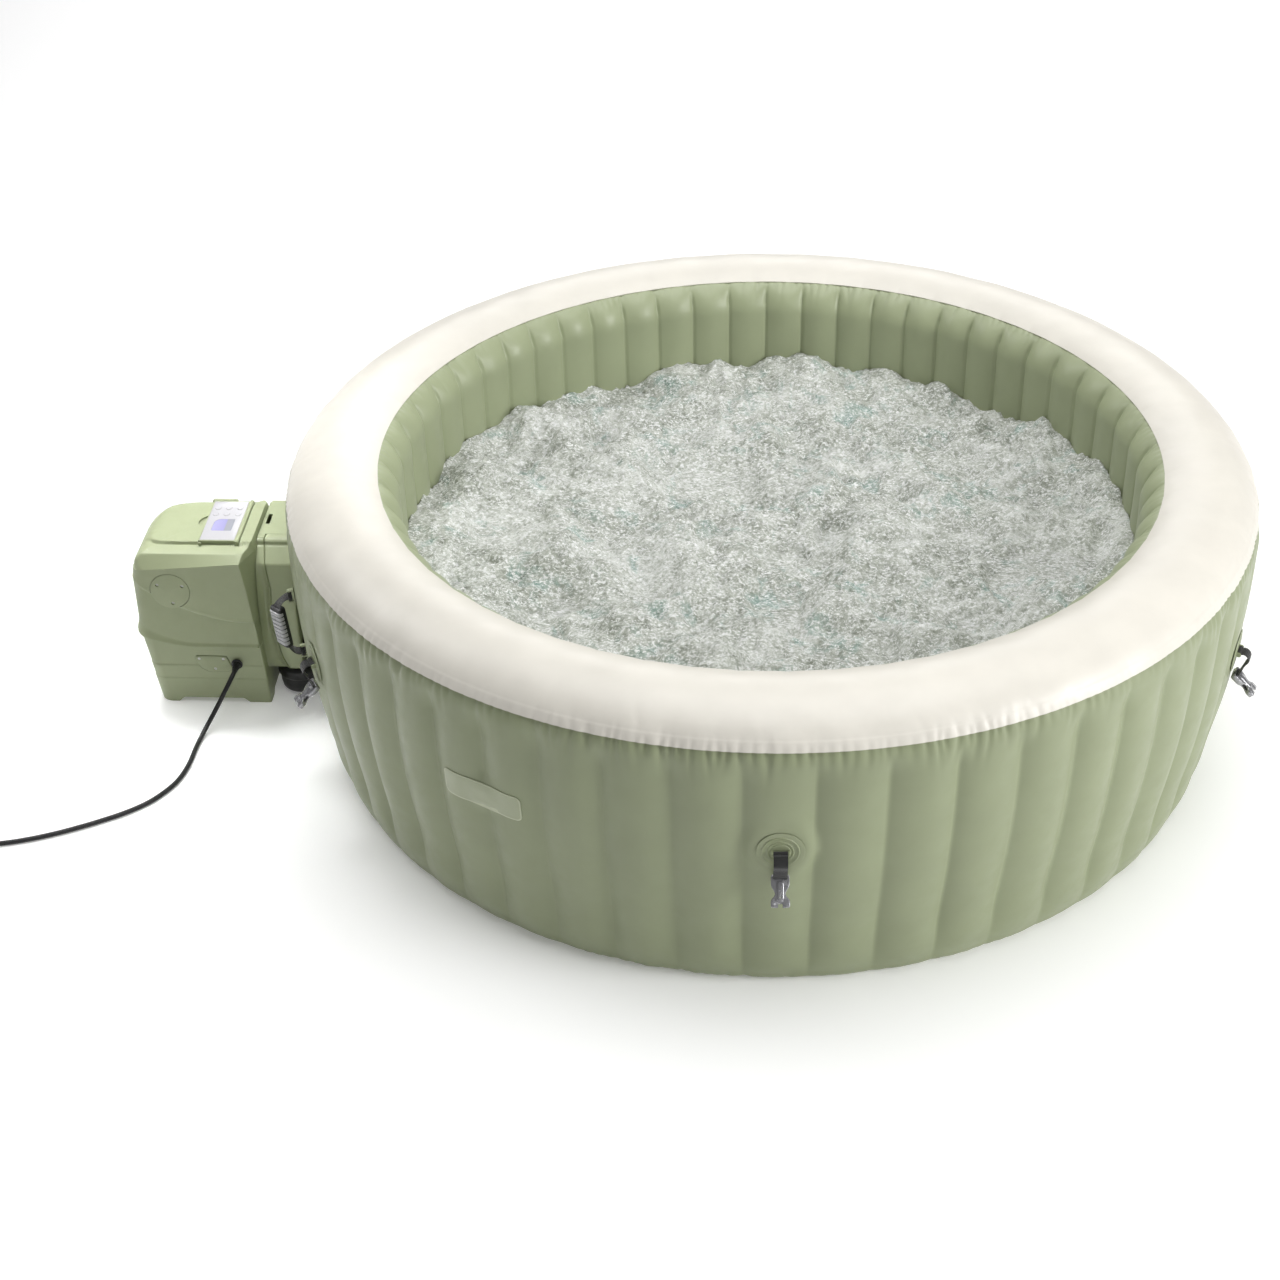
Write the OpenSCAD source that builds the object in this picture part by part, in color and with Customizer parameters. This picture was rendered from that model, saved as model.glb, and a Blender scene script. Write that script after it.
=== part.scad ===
// Inflatable hot tub with its pump and heater unit.
// Origin: centre of the tub on the floor. +Z is up, -Y is the front, the unit stands at -X.

/* [Tub] */
// Widest radius of the inflated ring
tub_r = 1080; // [1000:5:1150]
// Height of the ring's crown
tub_h = 691; // [640:1:740]
// Radius of the outer wall at the floor
base_r = 1000; // [950:5:1020]
// Narrowest radius of the pool, just under the rim
pool_r = 825; // [780:5:860]
// Radius of the pool at the floor
pool_base_r = 795; // [760:5:800]
// Height of the rim's oval cross-section
rim_oval_h = 198; // [180:2:220]
// Thickness of the laminated skin
skin_t = 2.5; // [1.5:0.5:4]
// Number of upright panels in the outer wall, one internal web behind each seam
panel_count = 52; // [40:4:60]
// Radius of the bottom edge of the outer wall
heel_r = 28; // [15:1:40]

/* [Cover straps] */
// Compass angles of the strap patches
strap_angles = [-88, -20, 46, 138, 206]; // each -180 to 360
// Height of the patches above the floor
patch_z = 393; // [350:1:430]
// Radius of a patch
patch_r = 46; // [35:1:55]
// Width of the webbing
web_w = 28; // [20:1:32]
// Thickness of the webbing
web_t = 2.5; // [1.5:0.5:3]
// Length of a buckle socket
buckle_l = 63; // [50:1:70]
// Widest width of a buckle socket
buckle_w = 37; // [33:1:42]
// Thickness of a buckle socket
buckle_t = 12; // [10:1:14]
// Angle at which a resting buckle points below the horizontal
buckle_tilt = 38; // [30:1:45]

/* [Carry handles] */
// Compass angles of the two handles
handle_angles = [193.5, 13.5]; // each -180 to 360
// Height of a handle's middle above the floor
handle_z = 345; // [300:5:400]
// Distance between a handle's two knuckles
handle_span = 150; // [130:5:180]
// Length of the ribbed grip
grip_l = 104; // [80:2:120]
// Stand-off of the grip from the wall
grip_out = 46; // [40:1:60]

/* [Pump unit] */
// Outer side of the unit, away from the tub
unit_x0 = -1480; // [-1500:1:-1440]
// Inner side of the unit, towards the tub
unit_x1 = -1187; // [-1195:1:-1180]
// Front face of the unit
unit_y0 = -90; // [-110:1:-80]
// Back face of the unit
unit_y1 = 185; // [170:1:200]
// Height of the waist between the base tray and the housing
waist_z = 162; // [150:1:175]
// Height of the joint between the housing and the top cover
cover_z = 384; // [378:1:388]
// Height of the raised crown of the top cover
crown_z = 418; // [416:1:420]
// Wall thickness of the moulded shells
shell_t = 3.5; // [2.5:0.5:4]

/* [Bridge] */
// Side of the bridge that faces the tub
bridge_x1 = -1098; // [-1102:1:-1096]
// Front face of the bridge
bridge_y0 = -60; // [-70:1:-50]
// Back face of the bridge
bridge_y1 = 190; // [180:1:200]
// Underside of the bridge
bridge_z0 = 75; // [70:1:80]
// Top of the bridge
bridge_z1 = 408; // [405:1:410]

/* [Control panel] */
// Width of the panel across the unit
panel_w = 96; // [90:1:100]
// Length of the panel from front to back
panel_l = 180; // [170:1:184]
// Radius of a round key
key_r = 7; // [5:0.5:8]

/* [Power cord] */
// Outside diameter of the cord
cord_d = 11; // [9:0.5:12]
// Radius at the middle of the coil's turns
coil_r = 66; // [60:1:72]

/* [Hidden] */
$fn = 64;
fit = 0.05; // radial clearance of a running pin
gap = 0.3; // clearance between neighbours on different bodies

sage = [0.56, 0.6, 0.47];
cream = [0.95, 0.94, 0.9];
black = [0.07, 0.07, 0.07];
grey = [0.7, 0.71, 0.7];

// The rim's oval cross-section
rim_a = (tub_r - pool_r) / 2;
rim_b = rim_oval_h / 2;
rim_c = (tub_r + pool_r) / 2;
rim_z = tub_h - rim_b;
outer_seam = 19.5; // angle on the oval where the rim cover meets the outer wall
inner_seam = 130.5; // angle on the oval where it meets the inner wall
floor_t = 4; // thickness of the base sheet

function oval(angle, inset) =
    [rim_c + (rim_a - inset) * cos(angle), rim_z + (rim_b - inset) * sin(angle)];

// Radius of the outer wall below the oval, which bulges over the floor
function bulge(z) = 1 - pow(1 - z / rim_z, 2.5);
function wall_r(z) = base_r + (tub_r - base_r) * bulge(z);
// Lean of the outer wall at a height, in degrees
function wall_lean(z) = atan((wall_r(z + 5) - wall_r(z - 5)) / 10);
// Radius of the inner wall below the oval
function pool_wall_r(z) = pool_base_r + (pool_r - pool_base_r) * sin(90 * z / rim_z);

heel_rc = wall_r(heel_r) - heel_r; // centre radius of the bottom edge's rounding
wall_steps = 14;

// Outer surface of the outer wall, from the floor up to the rim's seam
function outer_profile(inset) = concat(
    [for (a = [-90:30:-30]) [heel_rc + (heel_r - inset) * cos(a), heel_r + (heel_r - inset) * sin(a)]],
    [for (i = [0:wall_steps]) let (z = heel_r + (rim_z - heel_r) * i / wall_steps) [wall_r(z) - inset, z]],
    [oval(outer_seam / 2, inset), oval(outer_seam, inset)]
);

// Pool surface of the inner wall, from the floor up to the rim's seam
function inner_profile(inset) = concat(
    [for (i = [0:8]) let (z = floor_t + (rim_z - floor_t) * i / 8) [pool_wall_r(z) + inset, z]],
    [for (a = [165:-15:inner_seam + 4]) oval(a, inset)],
    [oval(inner_seam, inset)]
);

function flip(points) = [for (i = [len(points) - 1:-1:0]) points[i]];

function arc(cx, cy, r, a0, a1, steps) =
    [for (i = [0:steps]) let (a = a0 + (a1 - a0) * i / steps) [cx + r * cos(a), cy + r * sin(a)]];

// Closed outline of a strip of even thickness along a line of points
function side_of(p, i) =
    let (q = p[min(i + 1, len(p) - 1)] - p[max(i - 1, 0)]) [-q[1], q[0]] / norm(q);
function strip(p, t) = concat(
    [for (i = [0:len(p) - 1]) p[i] + side_of(p, i) * t / 2],
    [for (i = [len(p) - 1:-1:0]) p[i] - side_of(p, i) * t / 2]
);

// A frame on the outer wall: X out of the wall, Y sideways, Z up along the wall
module on_wall(angle, z) {
    rotate([0, 0, angle])
    translate([wall_r(z), 0, z])
    rotate([0, wall_lean(z), 0])
    children();
}

// Round stock lying along X, from x0 to x1
module rod_x(x0, x1, r) {
    translate([x0, 0, 0])
    rotate([0, 90, 0])
    cylinder(h = x1 - x0, r = r);
}

// Round stock lying along Y, from y0 to y1
module rod_y(y0, y1, r) {
    translate([0, y1, 0])
    rotate([90, 0, 0])
    cylinder(h = y1 - y0, r = r);
}

// A box given by its lowest and highest corners
module box(low, high) {
    translate(low)
    cube(high - low);
}

// Water and air lines through the tub wall: [y, z, tube radius]
lines = [[-5, 128, 26], [115, 128, 26], [55, 270, 20]];
collar_x0 = -1097.5; // end of the collars at the bridge
port_x = -1086; // plane where a wall tube meets the unit's pipe

module line_holes(extra) {
    for (l = lines)
        translate([0, l[0], l[1]])
        rod_x(-1150, -700, l[2] + extra);
}

// Tub skins and webs -------------------------------------------------------

module base_sheet() {
    color(sage)
    cylinder(h = floor_t, r = heel_rc, $fn = 180);
}

module outer_wall() {
    color(sage)
    difference() {
        rotate_extrude($fn = 180)
        polygon(concat(outer_profile(0), flip(outer_profile(skin_t))));
        line_holes(0);
    }
}

module inner_wall() {
    color(sage)
    difference() {
        rotate_extrude($fn = 180)
        polygon(concat(flip(inner_profile(0)), inner_profile(skin_t)));
        line_holes(0);
    }
}

module rim_cover() {
    sweep = inner_seam - outer_seam;
    steps = 16;
    angles = [for (i = [0:steps]) outer_seam + sweep * i / steps];
    color(cream)
    rotate_extrude($fn = 180)
    polygon(concat(
        [for (a = angles) oval(a, 0)],
        [for (a = flip(angles)) oval(a, skin_t)]
    ));
}

// Direction of a web: the panels are a little wider on three sides of the tub
function web_angle(i) =
    let (a = 360 * i / panel_count) a + 1.85 + 1.5 * sin(3 * (a + 90));

// Upright webs that tie the two walls together, left out where the pipes pass
module wall_webs() {
    clear = skin_t + 1.5;
    web_z0 = floor_t + 6;
    web_z1 = rim_z + 70;
    steps = 8;
    heights = [for (i = [0:steps]) web_z0 + (rim_z - web_z0) * i / steps];
    web = concat(
        [for (z = heights) [wall_r(max(z, heel_r)) - clear - (z < heel_r ? 12 : 0), z]],
        [oval(45, clear), oval(90, clear), oval(135, clear)],
        [for (z = flip(heights)) [pool_wall_r(z) + clear, z]]
    );
    color("white")
    for (i = [0:panel_count - 1])
        if (abs(web_angle(i) - 180) > 11)
            rotate([0, 0, web_angle(i)])
            rotate([90, 0, 0])
            linear_extrude(1.5, center = true)
            polygon(web);
}

ring_r = 772; // middle radius of the air jet ring
ring_w = 26;
ring_h = 20;
jet_count = 36;

module air_jet_ring() {
    color(sage)
    difference() {
        rotate_extrude($fn = 180)
        translate([ring_r, floor_t])
        difference() {
            union() {
                translate([-ring_w / 2, 0])
                square([ring_w, ring_h - 6]);
                translate([-ring_w / 2 + 6, 0])
                square([ring_w - 12, ring_h]);
                for (s = [-1, 1])
                    translate([s * (ring_w / 2 - 6), ring_h - 6])
                    circle(6, $fn = 32);
            }
            translate([-ring_w / 2 + 3, 3])
            square([ring_w - 6, ring_h - 9]);
        }
        for (i = [0:jet_count - 1])
            rotate([0, 0, i * 360 / jet_count])
            translate([ring_r, 0, floor_t + ring_h - 8])
            cylinder(h = 10, r = 2, $fn = 24);
    }
}

module label_plate() {
    label_turn = 10.2;
    z0 = 356;
    z1 = 430;
    heights = [for (i = [0:4]) z0 + (z1 - z0) * i / 4];
    color(cream)
    rotate([0, 0, -121 - label_turn / 2])
    rotate_extrude(angle = label_turn, $fn = 180)
    polygon(concat(
        [for (z = heights) [wall_r(z) + 0.1, z]],
        [for (z = flip(heights)) [wall_r(z) + 2.1, z]]
    ));
}

// Cover straps --------------------------------------------------------------
// Built in the on_wall frame. The webbing turns on a short pin across the patch.

pin_x = 8; // distance of the pin from the wall
pin_r = 2.5;
knuckle_r = 5;
lug_w = 4;
patch_x = 0.5; // the flat patch stands off the curved wall by this
patch_t = 1.6;

module strap_patch() {
    translate([patch_x, 0, 0]) {
        rod_x(0, patch_t, patch_r);
        difference() {
            rod_x(0, patch_t + 1, 36);
            rod_x(-1, patch_t + 2, 30);
        }
    }
    for (s = [-1, 1])
        translate([0, s * (web_w / 2 + gap + lug_w / 2), 0])
        union() {
            box([patch_x, -lug_w / 2, -5], [pin_x, lug_w / 2, 5]);
            translate([pin_x, 0, 0])
            rod_y(-lug_w / 2, lug_w / 2, 5);
        }
    translate([pin_x, 0, 0])
    rod_y(-web_w / 2 - 2, web_w / 2 + 2, pin_r);
}

module strap_patches() {
    color(sage)
    for (a = strap_angles)
        on_wall(a, patch_z)
        strap_patch();
}

buckle_x = 6; // start of the buckle, from the wall and below the pin
buckle_z = -56;
slot_at = 7; // place of the webbing slot along the buckle
slot_l = 4;

// Centre line of the webbing, from the knuckle round to the buckle's slot
web_route = concat(
    [[pin_x + 3.6, 0.5], [pin_x + 8, 2]],
    arc(pin_x + 7, -14, 16.5, 75, 0, 5),
    [[pin_x + 16, -27], [pin_x + 14, -37], [pin_x + 11, -46]],
    [[buckle_x + 11, -53], [buckle_x + 5.5, -60.3], [buckle_x + 1, -66]]
);

module strap_webbing(i) {
    color(black)
    on_wall(strap_angles[i], patch_z)
    difference() {
        union() {
            translate([0, web_w / 2, 0])
            rotate([90, 0, 0])
            linear_extrude(web_w)
            polygon(strip(web_route, web_t));
            translate([pin_x, 0, 0])
            rod_y(-web_w / 2, web_w / 2, knuckle_r);
        }
        translate([pin_x, 0, 0])
        rod_y(-web_w, web_w, pin_r + fit);
    }
}

module buckle_outline() {
    half = buckle_w / 2;
    upper = concat(
        [[0, half - 2], [2, half - 1], [20, half - 0.5]],
        arc(37, half + 3, 11, 215, 325, 6),
        [[48.5, half - 1], [51, half], [buckle_l - 1.5, half], [buckle_l, half - 1.5]]
    );
    polygon(concat(upper, [for (p = flip(upper)) [p[0], -p[1]]]));
}

module strap_buckle(i) {
    mouth_w = 25;
    mouth_l = 38;
    mouth_t = 7;
    color(grey)
    on_wall(strap_angles[i], patch_z)
    translate([buckle_x, 0, buckle_z])
    rotate([0, buckle_tilt, 0])
    difference() {
        translate([0, 0, -buckle_t / 2])
        linear_extrude(buckle_t)
        buckle_outline();
        box([buckle_l - mouth_l, -mouth_w / 2, -mouth_t / 2], [buckle_l + 1, mouth_w / 2, mouth_t / 2]);
        box(
            [slot_at - slot_l / 2, -web_w / 2 - gap, -buckle_t],
            [slot_at + slot_l / 2, web_w / 2 + gap, buckle_t]
        );
        box([buckle_l - 7, -4.5, -buckle_t], [buckle_l + 1, 4.5, buckle_t]);
        translate([44, 0, 0])
        cylinder(h = buckle_t, r = 2, $fn = 32);
    }
}

// Carry handles -------------------------------------------------------------

handle_pin_x = 11;

module handle_patch() {
    half = handle_span / 2;
    for (s = [-1, 1])
        translate([0, 0, s * half])
        union() {
            translate([patch_x, 0, 0])
            rod_x(0, patch_t, 24);
            for (e = [-1, 1]) {
                box([patch_x, -5, e * 14 - 2], [handle_pin_x, 5, e * 14 + 2]);
                translate([handle_pin_x, 0, e * 14 - 2])
                cylinder(h = 4, r = 5);
            }
            translate([handle_pin_x, 0, -14])
            cylinder(h = 28, r = pin_r);
        }
}

module handle_patches() {
    color(sage)
    for (a = handle_angles)
        on_wall(a, handle_z)
        handle_patch();
}

module handle_webbing(i) {
    half = handle_span / 2;
    bend = 14;
    outer = grip_out;
    route = concat(
        [[handle_pin_x + 3.6, half]],
        arc(outer - bend, half - bend, bend, 90, 0, 5),
        arc(outer - bend, -half + bend, bend, 0, -90, 5),
        [[handle_pin_x + 3.6, -half]]
    );
    color(black)
    on_wall(handle_angles[i], handle_z)
    union() {
        difference() {
            union() {
                translate([0, web_w / 2, 0])
                rotate([90, 0, 0])
                linear_extrude(web_w)
                polygon(strip(route, web_t));
                for (s = [-1, 1])
                    translate([handle_pin_x, 0, s * half - 10])
                    cylinder(h = 20, r = knuckle_r);
            }
            for (s = [-1, 1]) {
                translate([handle_pin_x, 0, s * half - 30])
                cylinder(h = 60, r = pin_r + fit);
            }
        }
    }
}

module handle_grip(i) {
    rib_pitch = 10;
    core_t = 17;
    color(grey)
    on_wall(handle_angles[i], handle_z)
    translate([grip_out, 0, 0])
    difference() {
        union() {
            box([-core_t / 2, -web_w / 2 - 4, -grip_l / 2], [core_t / 2, web_w / 2 + 4, grip_l / 2]);
            for (z = [-grip_l / 2 + 12:rib_pitch:grip_l / 2 - 12])
                box([core_t / 2 - 1, -web_w / 2 - 2, z - 3], [core_t / 2 + 2, web_w / 2 + 2, z + 3]);
        }
        box(
            [-web_t / 2 - 0.2, -web_w / 2 - 0.2, -grip_l],
            [web_t / 2 + 0.2, web_w / 2 + 0.2, grip_l]
        );
    }
}

// Valves --------------------------------------------------------------------

inflation_angle = 150;
inflation_z = 300;
drain_angle = 62;
drain_z = 78;

module valve_body(flange_r, neck_r, neck_l) {
    difference() {
        union() {
            rod_x(patch_x, patch_x + 2, flange_r);
            rod_x(patch_x, patch_x + neck_l, neck_r);
        }
        rod_x(patch_x + 3, patch_x + neck_l + 1, neck_r - 4);
    }
}

module valve_cap(neck_r, neck_l) {
    difference() {
        rod_x(patch_x + 2 + gap, patch_x + neck_l + 6, neck_r + 4);
        rod_x(0, patch_x + neck_l + gap, neck_r + 0.1);
        for (i = [0:11])
            rotate([i * 30, 0, 0])
            translate([0, neck_r + 4.6, 0])
            rod_x(patch_x, patch_x + neck_l + 10, 1.5, $fn = 24);
    }
}

module valve_bodies() {
    color(black) {
        on_wall(inflation_angle, inflation_z)
        valve_body(34, 20, 14);
        on_wall(drain_angle, drain_z)
        valve_body(30, 17, 20);
    }
}

module inflation_cap() {
    color(black)
    on_wall(inflation_angle, inflation_z)
    valve_cap(20, 14);
}

module drain_cap() {
    color(black)
    on_wall(drain_angle, drain_z)
    valve_cap(17, 20);
}

// Lines through the wall ----------------------------------------------------

flange_w = 12;
flange_t = 5;

// Planes that just clear the leaning, curved walls round a line's flange
function outer_plane(l, rim) = -wall_r(l[1] + l[2] + rim) - 0.5;
function pool_plane(l, rim) =
    0.5 - sqrt(pow(pool_wall_r(l[1] - l[2] - rim), 2) - pow(abs(l[0]) + l[2] + rim, 2));

module wall_fittings() {
    color(black)
    for (l = lines) {
        outer_x = outer_plane(l, flange_w);
        inner_x = pool_plane(l, flange_w);
        translate([0, l[0], l[1]])
        difference() {
            union() {
                rod_x(port_x, inner_x + 8, l[2]);
                rod_x(outer_x - flange_t, outer_x, l[2] + flange_w);
                rod_x(inner_x, inner_x + flange_t, l[2] + flange_w);
            }
            rod_x(port_x - 1, inner_x + 9, l[2] - 4);
        }
    }
}

module union_collars() {
    color(black)
    for (l = lines)
        translate([0, l[0], l[1]])
        difference() {
            rod_x(collar_x0, outer_plane(l, flange_w) - flange_t - 0.3, l[2] + 17);
            rod_x(collar_x0 - 1, -900, l[2] + 0.3);
            for (i = [0:15])
                rotate([i * 22.5, 0, 0])
                translate([0, l[2] + 19, 0])
                rod_x(-1110, -1000, 4, $fn = 24);
        }
}

// Round grille with slots, screwed on the pool side of a water fitting
module grille(l, r) {
    back_x = pool_plane(l, flange_w) + 8.3;
    translate([0, l[0], l[1]])
    difference() {
        rod_x(back_x, back_x + 18, r);
        rod_x(back_x - 1, back_x + 14, r - 4);
        for (y = [-24:12:24])
            box([back_x + 10, y - 3, -sqrt(r * r - y * y) + 10], [back_x + 20, y + 3, sqrt(r * r - y * y) - 10]);
    }
}

// Suction strainer and return grille
module pool_grilles() {
    color(grey) {
        grille(lines[0], 50);
        grille(lines[1], 46);
    }
}

// Pump unit -----------------------------------------------------------------

// Plan outline of the unit, drawn in by an inset
function unit_plan(inset, bevel) = concat(
    arc(unit_x0 + 22, unit_y0 + 22, 22 - inset, 180, 270, 6),
    [[unit_x1 - bevel, unit_y0 + inset], [unit_x1 - inset, unit_y0 + bevel * 1.2]],
    arc(unit_x1 - 30, unit_y1 - 30, 30 - inset, 0, 90, 6),
    arc(unit_x0 + 125, unit_y1 - 125, 125 - inset, 90, 180, 14)
);

// A solid with a plan outline, trimmed by an outline seen from the front
module trimmed(plan, front, z0, z1) {
    intersection() {
        translate([0, 0, z0])
        linear_extrude(z1 - z0)
        polygon(plan);
        translate([0, unit_y1 + 10, 0])
        rotate([90, 0, 0])
        linear_extrude(unit_y1 - unit_y0 + 20)
        polygon(front);
    }
}

tray_bevel = 6; // bevel of the front corner beside the bridge, at the tray
housing_bevel = 20; // and at the housing
tray_floor = 16;

function tray_front(inset) = [
    [unit_x0 + 30 + inset, -1], [unit_x0 + 4 + inset, waist_z + 1],
    [unit_x1 - inset, waist_z + 1], [unit_x1 - inset, -1]
];

lip_z = 14; // depth of the waist lip that the housing stands on

module unit_base() {
    color(sage)
    difference() {
        union() {
            trimmed(unit_plan(0, tray_bevel), tray_front(0), 0, waist_z);
            trimmed(unit_plan(-3, tray_bevel), [
                [unit_x0 - 4, waist_z - lip_z], [unit_x0 - 4, waist_z],
                [unit_x1, waist_z], [unit_x1, waist_z - lip_z]
            ], waist_z - lip_z, waist_z);
        }
        trimmed(
            unit_plan(shell_t, tray_bevel), tray_front(shell_t), tray_floor + shell_t, waist_z + 1
        );
        // arches between the four feet
        translate([0, unit_y1 + 20, 0])
        rotate([90, 0, 0])
        linear_extrude(unit_y1 - unit_y0 + 40)
        polygon([[-1418, -1], [-1408, 9], [-1398, 12], [-1262, 12], [-1250, 8], [-1238, -1]]);
        translate([unit_x0 - 20, 0, 0])
        rotate([90, 0, 90])
        linear_extrude(340)
        polygon([[-50, -1], [-40, 9], [-30, 12], [125, 12], [135, 9], [145, -1]]);
        // cable gland
        translate([gland_x, 0, gland_z])
        rod_y(unit_y0 - 10, unit_y0 + 20, gland_r);
        side_holes();
    }
}

// Holes for the lines, through the side that meets the bridge
module side_holes() {
    for (l = lines)
        translate([0, l[0], l[1]])
        rod_x(unit_x1 - 20, unit_x1 + 20, l[2] + 1);
}

function housing_front(inset) = [
    [unit_x0 + 3 + inset, waist_z - 1], [unit_x0 + 2 + inset, 240], [unit_x0 + 5 + inset, 340],
    [unit_x0 + 9 + inset, cover_z + 1], [unit_x1 - inset, cover_z + 1], [unit_x1 - inset, waist_z - 1]
];

module unit_housing() {
    color(sage)
    difference() {
        trimmed(unit_plan(0, housing_bevel), housing_front(0), waist_z, cover_z);
        trimmed(
            unit_plan(shell_t, housing_bevel), housing_front(shell_t), waist_z - 1, cover_z + 1
        );
        side_holes();
    }
}

// Side view of the top cover: bevelled front, low step, raised crown, bevelled back
function crown_side(inset) = [
    [unit_y0 + inset, cover_z - 1], [unit_y0 + 1 + inset, cover_z + 3],
    [unit_y0 + 25, 409 - inset * 2], [-36, 411 - inset * 2], [-34, crown_z - inset * 3.5],
    [110, crown_z - inset * 3.5], [150, 410 - inset * 2], [unit_y1 - inset, cover_z + 4],
    [unit_y1 - inset, cover_z - 1]
];

function crown_front(inset) = [
    [unit_x0 + 9 + inset, cover_z - 1], [unit_x0 + 16 + inset, 402], [unit_x0 + 34 + inset, crown_z + 1],
    [unit_x1 - inset, crown_z + 1], [unit_x1 - inset, cover_z - 1]
];

module crown_form(inset, z0) {
    intersection() {
        trimmed(unit_plan(inset, housing_bevel), crown_front(inset), z0, crown_z + 1);
        translate([unit_x0 - 20, 0, 0])
        rotate([90, 0, 90])
        linear_extrude(340)
        polygon(crown_side(inset));
    }
}

panel_x1 = -1221; // edge of the panel on the hinge side
panel_x0 = panel_x1 - panel_w;
panel_y0 = -31;
panel_y1 = panel_y0 + panel_l;
panel_z0 = 413;
panel_hinge_x = panel_x1 - 5;
panel_hinge_z = panel_z0 + 5;
recess_z = panel_z0 - 1.5;

module unit_top_cover() {
    ear_l = 4;
    color(sage)
    difference() {
        union() {
            difference() {
                crown_form(0, cover_z);
                crown_form(shell_t, cover_z - 1);
                box([panel_x0 - 1, panel_y0 - 1, recess_z], [panel_x1 + 1, panel_y1 + 1, crown_z + 9]);
                // finger scoop beside the panel
                translate([panel_x0 + 12, (panel_y0 + panel_y1) / 2, recess_z])
                cylinder(h = 20, r = 30);
            }
            // ears that carry the panel's hinge pin
            for (y = [panel_y0 - gap - ear_l, panel_y1 + gap])
                translate([panel_hinge_x, y + ear_l, 0])
                union() {
                    box([-5, -ear_l, recess_z - 3], [5, 0, panel_hinge_z]);
                    translate([0, 0, panel_hinge_z])
                    rod_y(-ear_l, 0, 5);
                }
        }
        translate([panel_hinge_x, 0, panel_hinge_z])
        rod_y(panel_y0 - 3, panel_y1 + 3, 2);
    }
}

// Control panel, hinged along its edge on the tub side ------------------------

module panel_frame() {
    rim = 3;
    color(sage)
    difference() {
        union() {
            box([panel_x0, panel_y0, panel_z0], [panel_hinge_x, panel_y1, panel_z0 + 9]);
            translate([panel_hinge_x, 0, panel_hinge_z])
            rod_y(panel_y0, panel_y1, 5);
        }
        box(
            [panel_x0 + rim, panel_y0 + rim, panel_z0 + 2],
            [panel_hinge_x - 6, panel_y1 - rim, panel_z0 + 10]
        );
        translate([panel_hinge_x, 0, panel_hinge_z])
        rod_y(panel_y0 - 1, panel_y1 + 1, 2 + fit);
    }
}

plate_z0 = panel_z0 + 7;
plate_z1 = panel_z0 + 9.6;
plate_x0 = panel_x0 + 3.2;
plate_x1 = panel_hinge_x - 6.2;
window_low = [plate_x0 + 18, panel_y0 + 44];
window_high = [plate_x1 - 16, panel_y0 + 96];
// Key centres: a row of three behind the window and a column beside it
key_places = [
    [plate_x0 + 14, panel_y0 + 118], [plate_x0 + 40, panel_y0 + 118], [plate_x1 - 14, panel_y0 + 118],
    [plate_x0 + 14, panel_y0 + 146], [plate_x0 + 40, panel_y0 + 146], [plate_x1 - 14, panel_y0 + 146]
];

module panel_plate() {
    color("white")
    difference() {
        box([plate_x0, panel_y0 + 3.2, plate_z0], [plate_x1, panel_y1 - 3.2, plate_z1]);
        box(
            [window_low[0], window_low[1], plate_z1 - 1.2],
            [window_high[0], window_high[1], plate_z1 + 1]
        );
        for (k = key_places)
            translate([k[0], k[1], plate_z0 - 1])
            cylinder(h = 6, r = key_r + gap);
    }
}

module display_window() {
    color("slateblue")
    box(
        [window_low[0] + 0.2, window_low[1] + 0.2, plate_z1 - 1.2],
        [window_high[0] - 0.2, window_high[1] - 0.2, plate_z1 - 0.1]
    );
}

module key(i) {
    color("white")
    translate([key_places[i][0], key_places[i][1], plate_z0 - 1])
    cylinder(h = plate_z1 - plate_z0 + 1.7, r = key_r);
}

// Bridge between the unit and the tub ----------------------------------------

lid_x0 = unit_x1 + 3;
lid_y0 = 25;
lid_y1 = 178;
lid_t = 6;
lid_hinge_x = bridge_x1 - 5.5;
lid_hinge_z = bridge_z1 - 3;
slot_y = 93; // middle of the finger slot in the lid

module bridge_side(inset) {
    polygon([
        [bridge_y0 + inset, bridge_z0 + inset], [bridge_y0 + inset, bridge_z1 - 26 - inset],
        [bridge_y0 + 24 + inset, bridge_z1 - inset], [bridge_y1 - 20 - inset, bridge_z1 - inset],
        [bridge_y1 - inset, bridge_z1 - 20 - inset], [bridge_y1 - inset, bridge_z0 + inset]
    ]);
}

module bridge_housing() {
    color(sage)
    difference() {
        translate([unit_x1 + 0.1, 0, 0])
        rotate([90, 0, 90])
        linear_extrude(bridge_x1 - unit_x1 - 0.1)
        bridge_side(0);
        // hollow with a deep ledge round the lid
        difference() {
            translate([unit_x1 + shell_t, 0, 0])
            rotate([90, 0, 90])
            linear_extrude(bridge_x1 - unit_x1 - shell_t * 2)
            bridge_side(shell_t);
            box([unit_x1, bridge_y0, bridge_z1 - 14], [bridge_x1, lid_y0 + 3, bridge_z1]);
            box([unit_x1, lid_y1 - 3, bridge_z1 - 14], [bridge_x1, bridge_y1, bridge_z1]);
        }
        // rebate of the lid and of its barrel
        box(
            [lid_x0 - gap, lid_y0 - gap, bridge_z1 - lid_t - gap],
            [lid_hinge_x, lid_y1 + gap, bridge_z1 + 1]
        );
        translate([lid_hinge_x, 0, lid_hinge_z])
        rod_y(lid_y0 - gap, lid_y1 + gap, 3.5 + gap);
        box(
            [lid_hinge_x, lid_y0 - gap, lid_hinge_z - 1],
            [bridge_x1 + 1, lid_y1 + gap, bridge_z1 + 1]
        );
        // pin seats
        translate([lid_hinge_x, 0, lid_hinge_z])
        rod_y(lid_y0 - 5, lid_y1 + 5, 2);
        // lines
        for (l = lines)
            translate([0, l[0], l[1]])
            rod_x(unit_x1 - 1, bridge_x1 + 1, l[2] + 1);
    }
}

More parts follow.
